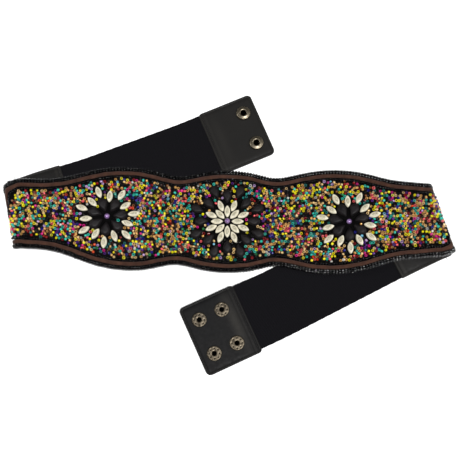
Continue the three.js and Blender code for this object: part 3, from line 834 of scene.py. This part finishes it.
def local_frame(u, v, w):
    """Ways along, across and out of the beaded face at places on the flat belt."""
    here = fold(u, v, w)
    up = fold(u, v, w + 0.2) - here
    ahead = fold(u + 0.2, v, w) - fold(u - 0.2, v, w)
    up /= np.linalg.norm(up, axis=1)[:, None]
    ahead -= np.sum(ahead * up, axis=1)[:, None] * up
    ahead /= np.linalg.norm(ahead, axis=1)[:, None]
    return ahead, np.cross(up, ahead), up


def seed_beads():
    dice = np.random.default_rng(41)
    chart = scatter_seeds(17, 2.64)
    u, v = flat_from_chart(chart)
    count = len(u)
    weights = np.array([row[2] for row in BEAD_COLOURS], float)
    kinds = dice.choice(len(BEAD_COLOURS), count, p=weights / weights.sum())
    tree = kdtree.KDTree(count)
    for i, (x, y) in enumerate(chart):
        tree.insert((x, y, 0), i)
    tree.balance()
    for i in range(count):
        if dice.random() < 0.02:
            near = tree.find_n((*chart[i], 0), 4)
            kinds[i] = kinds[near[dice.integers(1, 4)][1]]
    turn = dice.uniform(0, math.pi, count)
    standing = dice.random(count) < 0.64
    lift = np.where(standing, dice.normal(math.pi / 2, 0.22, count), dice.normal(0, 0.22, count))
    axes = tilted_axes(local_frame(u, v, SEED_HEIGHT), turn, lift)
    width = dice.normal(0.98, 0.09, count).clip(0.78, 1.14)
    length = dice.normal(1.0, 0.12, count).clip(0.75, 1.3)
    w = np.where(standing, 2.75 + 0.35 * dice.random(count), 3.05 + 0.35 * dice.random(count))
    places = fold(u, v, w)
    sizes = np.column_stack([width, width, length])
    for name, mine in (
        ("seed_beads_left", u < -62),
        ("seed_beads_centre", (u >= -62) & (u < 62)),
        ("seed_beads_right", u >= 62),
    ):
        beads_object(
            name, places[mine], axes[mine], dice.uniform(0, 6.28, mine.sum()), sizes[mine],
            kinds[mine], SEED_SHAPE, bead_materials, "seed_bead_field",
        )


def inner_row():
    """Uneven row of black beads just inside the lace."""
    dice = np.random.default_rng(5)
    line, outward = spaced_lace_line(2.3, -3.2, 3.0)
    count = len(line)
    out = -3.2 + dice.normal(0, 0.18, count)
    u, v = beside(line, outward, out)
    w = 2.65 + dice.uniform(0, 0.3, count)
    turn = dice.uniform(0, math.pi, count)
    lift = dice.normal(0, 0.5, count)
    axes = tilted_axes(local_frame(u, v, w), turn, lift)
    sizes = np.ones((count, 3)) * dice.normal(0.95, 0.06, count)[:, None]
    beads_object(
        "inner_black_beads", fold(u, v, w), axes, dice.uniform(0, 6.28, count), sizes,
        np.zeros(count, int), INNER_SHAPE, [black_bead], "seed_bead_field",
    )


# Whipstitched beads over the edge: out from the lace line, height w, tilt down over the edge, size
STITCH_BEADS = [(2.85, 3.1, 4, 0.93), (4.4, 2.75, 34, 1.0), (4.78, 1.35, 82, 1.04)]


def edge_beads():
    dice = np.random.default_rng(9)
    glint_dice = np.random.default_rng(10)
    line, outward = spaced_lace_line(2.62, 4.6, 2.6)
    count = len(line)
    places, axes, sizes, kinds = [], [], [], []
    for out, w, tilt, size in STITCH_BEADS:
        shift = out + dice.normal(0, 0.06, count)
        height = w + dice.normal(0, 0.05, count)
        u, v = beside(line, outward, shift)
        here = fold(u, v, height)
        up = fold(u, v, height + 0.2) - here
        away = fold(u + outward[:, 0] * 0.2, v + outward[:, 1] * 0.2, height) - here
        up /= np.linalg.norm(up, axis=1)[:, None]
        away /= np.linalg.norm(away, axis=1)[:, None]
        lean = np.radians(tilt) + dice.normal(0, 0.06, count)
        side_way = np.cross(up, away)
        sway = dice.normal(0, 0.06, count)
        axis = np.cos(lean)[:, None] * away - np.sin(lean)[:, None] * up + sway[:, None] * side_way
        places.append(here)
        axes.append(axis)
        sizes.append(np.ones((count, 3)) * size * dice.normal(1, 0.04, count)[:, None])
        # Three in four edging beads on the lower side right of u 40, and up to two in five at the top
        # middle, take the brighter copy: painted glints
        glint_share = np.where(outward[:, 1] < 0, 0.75 * (u > 40), 0.4 * np.exp(-((u / 45) ** 2)))
        kinds.append(glint_dice.random(count) < glint_share)
    places, axes, sizes = np.vstack(places), np.vstack(axes), np.vstack(sizes)
    total = len(places)
    beads_object(
        "edge_black_beads", places, axes, dice.uniform(0, 6.28, total), sizes,
        np.concatenate(kinds).astype(int), EDGE_SHAPE, [black_bead, glint_bead], "edge_beading",
    )


def thread_bundle(name, reach, height, radius, node):
    """Bundle of thread that runs under a row of beads."""
    line, outward = spaced_lace_line(2.0, reach, 1.9)
    sides = 8
    verts = []
    for j in range(sides):
        angle = 2 * math.pi * j / sides
        out = reach + radius * math.cos(angle)
        verts.append(fold(*beside(line, outward, out), height + radius * math.sin(angle)))
    verts = np.stack(verts, axis=1).reshape(-1, 3)
    add_object(name, verts, loop_faces(len(line), sides), [felt], node)


seed_beads()
inner_row()
edge_beads()
thread_bundle("edge_thread", 4.15, 1.9, 0.75, "edge_beading")
thread_bundle("inner_thread", -3.4, 1.75, 0.9, "seed_bead_field")


# Lace
LACE_SECTION = [
    (-1.6, 2.5), (-1.62, 3.05), (-1.36, 3.42), (-0.65, 3.56), (0, 3.52),
    (0.65, 3.56), (1.36, 3.42), (1.62, 3.05), (1.6, 2.5), (0, 2.45),
]


def lace():
    line, outward = spaced_lace_line(1.6, 0, 3.0)
    count = len(line)
    run = np.arange(count) / count * 2 * math.pi
    sway = 0.09 * np.sin(run * 37) + 0.07 * np.sin(run * 61 + 1)
    swell = 1 + 0.05 * np.sin(run * 83 + 2)
    verts = []
    for i in range(count):
        out = np.array([o * swell[i] + sway[i] for o, _ in LACE_SECTION])
        w = np.array([h for _, h in LACE_SECTION])
        verts.append(fold(line[i, 0] + outward[i, 0] * out, line[i, 1] + outward[i, 1] * out, w))
    verts = np.vstack(verts)
    add_object("suede_lace", verts, loop_faces(count, len(LACE_SECTION)), [suede], "brown_lace")


lace()


# Straps: slabs with rounded edges, made of two skins that meet at the rim
def rounding(distance, radius):
    d = np.clip(distance, 0, radius)
    return radius - np.sqrt(np.maximum(0, radius**2 - (radius - d) ** 2))


def edge_steps(half, fine):
    """Shares of the half width, close together near the edge."""
    inner = half - fine[-1]
    rest = np.linspace(0, inner, max(2, int(inner / 2.2)))[:-1]
    outer = [half - f for f in fine[::-1]]
    return np.concatenate([rest, outer])


FINE = [0, 0.06, 0.22, 0.5, 0.85, 1.2, 1.6, 1.85, 2.1, 2.35, 2.6, 3.0]


def slab(name, side, alongs, limits, top, bottom, radius, material, node, groove=None, sheen_and_rim=None):
    """limits(along) gives the ends of the width; top and bottom give the skins' heights."""
    shares = edge_steps(STRAP_HALF, FINE) / STRAP_HALF
    shares = np.concatenate([-shares[::-1], shares[1:]])
    rows_top, rows_bottom, flats, sheen_and_rim_rows = [], [], [], []
    for along in alongs:
        low_v, high_v = limits(along)
        v = (low_v + high_v) / 2 + shares * (high_v - low_v) / 2
        side_room = np.minimum(v - low_v, high_v - v)
        room = np.minimum(side_room, min(along - alongs[0], alongs[-1] - along))
        fall = rounding(room, radius)
        high = top(along) + fall
        if groove:
            high = high + groove(along, v, side_room)
        if sheen_and_rim:
            sheen_and_rim_rows.append(sheen_and_rim(along, v, room))
        u = side["sign"] * along
        rows_top.append(fold(u, v, high))
        rows_bottom.append(fold(u, v, bottom(along) - fall))
        flats.append(np.column_stack([np.full_like(v, along), v]))
    rows, columns = len(alongs), len(shares)
    upper = grid_faces(rows, columns)
    shift = rows * columns
    lower = shifted([face[::-1] for face in upper], shift)
    border = (
        list(range(columns))
        + [i * columns + columns - 1 for i in range(1, rows)]
        + [(rows - 1) * columns + j for j in range(columns - 2, -1, -1)]
        + [i * columns for i in range(rows - 2, 0, -1)]
    )
    rim = [(b, a, a + shift, b + shift) for a, b in zip(border, border[1:] + border[:1])]
    verts = np.vstack([*rows_top, *rows_bottom])
    thing = add_object(name, verts, upper + lower + rim, [material], node)
    give_flat_places(thing, np.vstack([*flats, *flats]))
    # Share of the lighter brown at each point: painted highlight, lightening and lighter rim
    if sheen_and_rim_rows:
        layer = thing.data.attributes.new("sheen_and_rim", "FLOAT", "POINT")
        layer.data.foreach_set("value", np.concatenate([*sheen_and_rim_rows, *sheen_and_rim_rows]).clip(0, 1))


def steps_between(start, end, step):
    count = max(1, int(round((end - start) / step)))
    return [start + (end - start) * i / count for i in range(count + 1)]


def ramp(x, a, b):
    return float(np.clip((x - a) / (b - a), 0, 1))


def bell(x, middle, width):
    return np.exp(-(((x - middle) / width) ** 2))


def corner_cut(radius, into):
    return radius - math.sqrt(max(0, radius**2 - into**2))


# Straps: rows of each mesh near its ends, from the end inwards
CONNECTOR_TAIL = [0.0, 0.15, 0.4, 0.8, 1.2, 1.6, 2.0, 2.4, 2.9, 3.8, 5.0, 5.6, 6.2, 6.8, 7.4, 8.2]
TAB_HEAD = [0.0, 0.15, 0.4, 0.8, 1.2, 1.6, 2.0, 2.35, 2.7, 3.1, 3.5, 4.0, 5.0, 5.6, 6.2, 6.8, 7.4, 8.2]
ELASTIC_ENDS = [0.0, 0.06, 0.22, 0.5, 0.85, 1.2, 1.6, 2.1, 2.6]
HEM = 2.2
CONNECTOR_SEAM = 2.0
CONNECTOR_CORNER = 1.4
TAB_ROOT_CORNER = 3.4
# Painted highlight on each tab beside its seam, where the leather bulges over the elastic, and how much
# lighter each tab is all over
TAB_SHEEN = {"left": (0.1, 0.16), "right": (0.45, 0.0)}


def connector(key):
    side = SIDES[key]
    start, end = 168.0, side["connectorEnd"]
    alongs = steps_between(start, 203, 1.0) + steps_between(204.5, end - 9, 1.5)
    alongs += [end - f for f in CONNECTOR_TAIL[::-1]]

    def limits(along):
        cut = corner_cut(CONNECTOR_CORNER, max(0.0, CONNECTOR_CORNER - (end - along)))
        return -STRAP_HALF + cut, STRAP_HALF - cut

    def top(along):
        base = -2.45 - 0.5 * ramp(along, 208, 220)
        return base - 0.28 * soft((along - (end - 7.2)) / 1.2)

    def bottom(along):
        return -0.4 + 0.25 * ramp(along, 203, 212)

    def groove(along, v, room):
        line = bell(room, HEM, 0.55) * 0.3
        seam = bell(along, end - CONNECTOR_SEAM, 0.55) * 0.3
        return np.maximum(line, seam)

    def sheen_and_rim(along, v, room):
        # Lighter along the rim, a painted highlight on the raised band by the seam, and a lightening all
        # over
        return 0.3 * bell(room, 1.0, 0.7) + 0.14 * bell(along, end - 4.6, 1.6) + 0.12

    slab(
        f"connector_{key}_leather", side, alongs, limits, top, bottom, 0.75,
        leather, f"connector_{key}", groove, sheen_and_rim,
    )


def seam_place(v):
    """How far the tab's seam lies from the tab's start, puckered by its stitches."""
    v = np.asarray(v)
    return 2.7 + 0.38 * np.sin(v * 0.95 + 0.6 * np.sin(v * 0.31))


def tab(key):
    side = SIDES[key]
    start, end = side["tabStart"], side["tabEnd"]
    low, high = side["tabLow"], side["tabHigh"]
    corner_start = end - TAB_CORNER
    tail = [corner_start + TAB_CORNER * math.sin(math.radians(a)) for a in range(0, 91, 6)]
    alongs = [start + f for f in TAB_HEAD] + steps_between(start + 9.5, corner_start - 1.2, 1.6) + tail
    lightening, overall_lift = TAB_SHEEN[key]

    def limits(along):
        cut = corner_cut(TAB_CORNER, max(0.0, along - corner_start))
        cut += corner_cut(TAB_ROOT_CORNER, max(0.0, TAB_ROOT_CORNER - (along - start)))
        return low + cut, high - cut

    def top(along):
        band = -0.34 * (1 - soft((along - (start + 5.6)) / 1.4))
        return -2.62 + band - 0.18 * bell(along - start, 10.5, 3.2)

    def bottom(along):
        return -0.15

    def groove(along, v, room):
        line = bell(np.minimum(room, end - along), HEM, 0.5) * 0.26
        seam = bell(along - start, seam_place(v), 0.5) * 0.42
        return np.maximum(line, seam)

    def sheen_and_rim(along, v, room):
        # Painted highlight beside the seam and on the raised band by the seam, a lightening all over and a
        # lighter rim
        spread = bell(v, (low + high) / 2, (high - low) / 2.6)
        seam_sheen = lightening * bell(along - start, 11, 4) * spread
        band_sheen = 0.1 * bell(along - start, 4.8, 1.3)
        return seam_sheen + band_sheen + overall_lift + 0.12 * bell(room, 1.0, 0.6)

    slab(
        f"end_tab_{key}_leather", side, alongs, limits, top, bottom, 0.85,
        leather, f"end_tab_{key}", groove, sheen_and_rim,
    )


def elastic_band(key):
    side = SIDES[key]
    start = side["connectorEnd"] - 11.4
    end = side["tabStart"] + 7.1
    alongs = [start + f for f in ELASTIC_ENDS] + steps_between(start + 3.2, end - 3.2, 1.6)
    alongs += [end - f for f in ELASTIC_ENDS[::-1]]

    def limits(along):
        wave = 0.1 * math.sin(along * 0.8)
        return -ELASTIC_HALF - wave, ELASTIC_HALF + wave

    def top(along):
        return -2.15

    def bottom(along):
        return -1.05

    slab(
        f"elastic_{key}_weave", side, alongs, limits, top, bottom, 0.5,
        elastic_weave, f"elastic_{key}",
    )


for key in SIDES:
    connector(key)
    elastic_band(key)
    tab(key)


# Stitches: short rods laid along lines on the straps
ROD_SIDES = 6
STITCH_RINGS = 7
STITCH_PITCH = 3.0
STITCH_LENGTH = 2.3
STITCH_RADIUS = 0.24


def stitch_row(side, path, w):
    """Rods of thread along a path of flat places, each a little sunk at its ends."""
    verts, faces = [], []
    path = np.array(path, float)
    run = np.concatenate([[0], np.cumsum(np.linalg.norm(np.diff(path, axis=0), axis=1))])
    count = int(run[-1] / STITCH_PITCH)

    def place_at(at):
        return np.array([np.interp(at, run, column) for column in path.T])

    for n in range(count):
        middle = (n + 0.5) * run[-1] / count
        faces += shifted(capped_faces(STITCH_RINGS, ROD_SIDES), len(verts))
        for k in range(STITCH_RINGS):
            t = -1 + 2 * k / (STITCH_RINGS - 1)
            at = middle + t * STITCH_LENGTH / 2
            along, across = place_at(at)
            ahead = place_at(at + 0.2) - place_at(at - 0.2)
            ahead /= math.hypot(*ahead) or 1
            thick = STITCH_RADIUS * math.sqrt(max(0.05, 1 - t**4))
            for j in range(ROD_SIDES):
                angle = 2 * math.pi * j / ROD_SIDES
                sideways = thick * math.cos(angle)
                height = w - thick * math.sin(angle) + 0.22 * t * t
                verts.append((along - ahead[1] * sideways, across + ahead[0] * sideways, height))
    flat = np.array(verts)
    return fold(side["sign"] * flat[:, 0], flat[:, 1], flat[:, 2]), faces


def stitches(key):
    side = SIDES[key]
    start, end = side["tabStart"], side["tabEnd"]
    low, high = side["tabLow"] + HEM, side["tabHigh"] - HEM
    reach = end - HEM
    corner = TAB_CORNER - HEM
    path = [(start + 3.5, low), (reach - corner, low)]
    path += [
        (reach - corner + corner * math.sin(a), low + corner - corner * math.cos(a))
        for a in np.radians([30, 60, 90])
    ]
    path += [
        (reach - corner + corner * math.cos(a), high - corner + corner * math.sin(a))
        for a in np.radians([0, 30, 60])
    ]
    path += [(reach - corner, high), (start + 3.5, high)]
    tab_seam = [(start + seam_place(v), v) for v in np.linspace(low - 0.4, high + 0.4, 90)]
    seam = side["connectorEnd"] - CONNECTOR_SEAM
    lines = [(path, -2.66), (tab_seam, -2.85), ([(seam, -28), (seam, 28)], -3.24)]
    for edge in (-STRAP_HALF + HEM, STRAP_HALF - HEM):
        lines.append(([(198, edge), (seam - 2, edge)], -2.92))
    verts, faces = [], []
    for line, w in lines:
        points, some = stitch_row(side, line, w)
        faces += shifted(some, len(verts))
        verts += points.tolist()
    add_object(f"stitches_{key}", verts, faces, [thread], None)


for key in SIDES:
    stitches(key)

# Cut ends of sewing thread that stand out from the folds' seams, from base to tip
THREAD_ENDS = [
    ((-183.2, 42.6, 8.2), (-188.6, 47.2, 8.8)),
    ((185.2, -23.9, 8.0), (189.4, -28.2, 8.4)),
]
THREAD_RINGS = 6


def thread_ends():
    verts, faces = [], []
    for base, tip in np.array(THREAD_ENDS):
        way = (tip - base) / np.linalg.norm(tip - base)
        side_way = np.array([-way[1], way[0], 0.0])
        faces += shifted(capped_faces(THREAD_RINGS, ROD_SIDES), len(verts))
        for k in range(THREAD_RINGS):
            t = k / (THREAD_RINGS - 1)
            at = base + (tip - base) * t + side_way * 0.7 * math.sin(t * math.pi)
            thick = 0.3 * (1 - 0.4 * t)
            for j in range(ROD_SIDES):
                angle = 2 * math.pi * j / ROD_SIDES
                verts.append(at + thick * (side_way * math.cos(angle) + np.array([0, 0, math.sin(angle)])))
    add_object("thread_ends", verts, faces, [thread], None)


thread_ends()


# Stones
NAVETTE_SIDES = 20
DROP_SIDES = 22
TABLE_RING = 4
FACET_ANGLE = math.radians(28)


def stone_mesh(outline, place, levels):
    points = placed(outline, place)
    middle = np.array(place[0])
    rings = []
    for scale, w in levels:
        ring = middle + (points - middle) * scale
        rings.append(fold(ring[:, 0], ring[:, 1], w))
    return np.vstack(rings), capped_faces(len(levels), len(outline))


def stone_levels(size):
    foot, girdle, top, table = size["foot"], size["girdle"], size["top"], size["table"]
    return [
        (0.94, foot),
        (1.0, foot + 0.35),
        (1.0, girdle - 0.1),
        (0.975, girdle + 0.12),
        (table + 0.07, top - 0.1),
        (table - 0.02, top),
        (table * 0.5, top + 0.03),
    ]


for flower in FLOWERS:
    verts, faces, kinds = [], [], []
    for ring in flower["ivory"]:
        for place in ring_places(flower, ring):
            outline = navette_outline(NAVETTE["length"], NAVETTE["width"], NAVETTE_SIDES)
            points, some = stone_mesh(outline, place, stone_levels(NAVETTE))
            kinds += [int(min(face) >= TABLE_RING * NAVETTE_SIDES) for face in some]
            faces += shifted(some, len(verts))
            verts += points.tolist()
    navettes = add_object(
        f"ivory_navettes_{flower['name']}", verts, faces, [ivory, ivory_table],
        f"navettes_{flower['name']}", kinds,
    )
    navettes.data.set_sharp_from_angle(angle=FACET_ANGLE)
    size = flower["stone"]
    places = [place for ring in flower["black"] for place in ring_places(flower, ring)]
    for number, place in enumerate(places, 1):
        outline = drop_outline(size["length"], size["width"], DROP_SIDES)
        points, some = stone_mesh(outline, place, stone_levels(size))
        stone = add_object(
            f"black_drop_{flower['name']}_{number}", points, some, [black_stone],
            f"drop_{flower['name']}_{number}",
        )
        stone.data.set_sharp_from_angle(angle=FACET_ANGLE)


def pearls():
    rows, around = 16, 28
    for flower in FLOWERS:
        middle = fold(*flower["at"], flower["pearlFoot"] + PEARL_RADIUS)[0]
        verts = []
        for a in np.linspace(0.04, 0.96, rows) * math.pi:
            r = PEARL_RADIUS * math.sin(a)
            for j in range(around):
                b = 2 * math.pi * j / around
                verts.append((r * math.cos(b), r * math.sin(b), PEARL_RADIUS * math.cos(a)))
        name = flower["name"]
        faces = capped_faces(rows, around)
        add_object(f"lilac_pearl_{name}", verts + middle, faces, [pearl_coat], f"pearl_{name}")


pearls()


# Snaps: half sections as radius and height above the leather
SOCKET_RING = [
    (0.0, 0.25), (2.1, 0.25), (2.4, 0.32), (2.46, 1.2), (2.56, 1.95), (2.85, 2.3), (3.3, 2.44), (3.9, 2.42),
    (4.4, 2.26), (4.8, 2.12), (5.2, 2.1), (5.7, 2.04), (6.12, 1.8), (6.4, 1.3), (6.46, 0.4), (6.25, 0.08),
]
EYELET_RING = [
    (0.0, 0.14), (1.4, 0.14), (1.76, 0.16), (1.82, 0.5), (1.96, 0.78), (2.3, 0.92), (2.7, 0.98), (3.3, 0.96),
    (3.8, 0.94), (4.1, 0.94), (4.4, 0.93), (4.7, 0.93), (5.1, 0.93), (5.7, 0.91), (6.1, 0.8), (6.36, 0.5),
    (6.42, 0.12),
]
CAP = [(2.45, -2.7), (6.1, -2.7), (6.2, -2.95), (5.9, -3.5), (4.8, -3.9), (2.6, -4.02), (0.0, -4.05)]
STUD_FOOT = [
    (2.45, -2.7), (5.9, -2.7), (5.95, -3.1), (5.7, -3.5), (4.0, -3.7), (2.75, -3.75), (2.55, -4.3),
    (2.75, -5.3), (2.5, -5.8), (1.4, -5.95), (0.0, -5.95),
]


SNAP_LEVEL = -2.7
SNAP_SIDES = 64
DENTS = 8
DENT_RADIUS = 4.4


def snap_object(name, key, along, across, profile, foot, dented, metal, node):
    """Turned ring, with metal, dark patina in its dents and black painted shade in its hole."""
    rows = profile + foot
    verts, kinds = [], []
    for i, (r, h) in enumerate(rows):
        reach = 0.0
        if dented and 3.0 <= r <= 5.7 and i < len(profile):
            reach = math.exp(-(((r - DENT_RADIUS) / 0.4) ** 4))
        for j in range(SNAP_SIDES):
            b = 2 * math.pi * j / SNAP_SIDES
            phase = (b * DENTS / (2 * math.pi)) % 1 - 0.5
            dent = 0.3 * reach * math.exp(-((phase / 0.15) ** 4))
            u = along * SIDES[key]["sign"] + r * math.cos(b)
            verts.append((u, across + r * math.sin(b), SNAP_LEVEL - h + dent))
    faces = grid_faces(len(rows), SNAP_SIDES, closed=True)
    for face in faces:
        i, j = divmod(face[0], SNAP_SIDES)
        r = (rows[i][0] + rows[i + 1][0]) / 2
        phase = ((j + 0.5) / SNAP_SIDES * DENTS) % 1 - 0.5
        deep = dented and i < len(profile) - 1 and 4.1 < r < 4.7 and abs(phase) < 0.14
        # Faces at the bottom of the hole take the black: painted shade
        hole = i < 4 and r < 2.5
        kinds.append(2 if hole else int(deep))
    flat = np.array(verts)
    places = fold(flat[:, 0], flat[:, 1], flat[:, 2])
    add_object(name, places, faces, [metal, patina, hollow], node, kinds)


for i, (key, along, across) in enumerate(SOCKETS, 1):
    name = f"snap_socket_ring_{i}"
    snap_object(name, key, along, across, SOCKET_RING, CAP, False, antique, f"socket_snap_{i}")
for i, (key, along, across) in enumerate(STUDS, 1):
    name = f"snap_eyelet_ring_{i}"
    snap_object(name, key, along, across, EYELET_RING, STUD_FOOT, True, pewter, f"stud_snap_{i}")

# Carried-over solid
for thing in frame["nodes"].values():
    if thing.name.startswith("panel_backing"):
        thing.data.materials.clear()
        thing.data.materials.append(felt)

# Floor
floor_material, floor_tree, floor_shader = new_material("pale_floor", 0.9, 0, 0.1)
floor_grain = noise_node(floor_tree, place_node(floor_tree), 3, 2.0)
floor_colour = ramp_node(floor_tree, floor_grain, [(0.3, (0.93, 0.93, 0.93)), (0.7, (0.95, 0.95, 0.95))])
floor_tree.links.new(floor_colour, floor_shader.inputs["Base Color"])
floor_shader.inputs["Emission Color"].default_value = (1, 1, 1, 1)
floor_shader.inputs["Emission Strength"].default_value = 0.2
floor_mesh = bpy.data.meshes.new("floor")
floor_mesh.from_pydata([(-4, -4, 0), (4, -4, 0), (4, 4, 0), (-4, 4, 0)], [], [(0, 1, 2, 3)])
floor_mesh.materials.append(floor_material)
floor = bpy.data.objects.new("floor", floor_mesh)
bpy.context.scene.collection.objects.link(floor)


# Light
def sun_light(name, direction, softness, strength):
    data = bpy.data.lights.new(name, "SUN")
    data.angle = math.radians(softness)
    data.energy = strength
    thing = bpy.data.objects.new(name, data)
    bpy.context.scene.collection.objects.link(thing)
    thing.rotation_euler = Vector(direction).to_track_quat("-Z", "Y").to_euler()


sun_light("key", (-0.15, 0.2, -1), 10, 3.05)
sun_light("left_box", (1.2, -0.1, -1), 18, 0.8)
sun_light("right_box", (-1.2, -0.1, -1), 18, 0.75)
world = bpy.data.worlds.new("studio")
bpy.context.scene.world = world
world.use_nodes = True
background = world.node_tree.nodes["Background"]
background.inputs["Color"].default_value = (1, 1, 1, 1)
background.inputs["Strength"].default_value = 0.07
bpy.context.scene.view_settings.view_transform = "Standard"

# Camera of the photograph
camera_data = bpy.data.cameras.new("camera")
camera_data.sensor_width = 36
camera_data.lens = 36 / (2 * math.tan(math.radians(35) / 2))
camera_data.clip_start = 0.01
camera = bpy.data.objects.new("camera", camera_data)
bpy.context.scene.collection.objects.link(camera)
camera.location = (Vector((2.349, -145.005, 625.898)) + Vector(SHIFT)) * 0.001
camera.rotation_euler = (math.radians(12.5), 0, 0)
bpy.context.scene.camera = camera
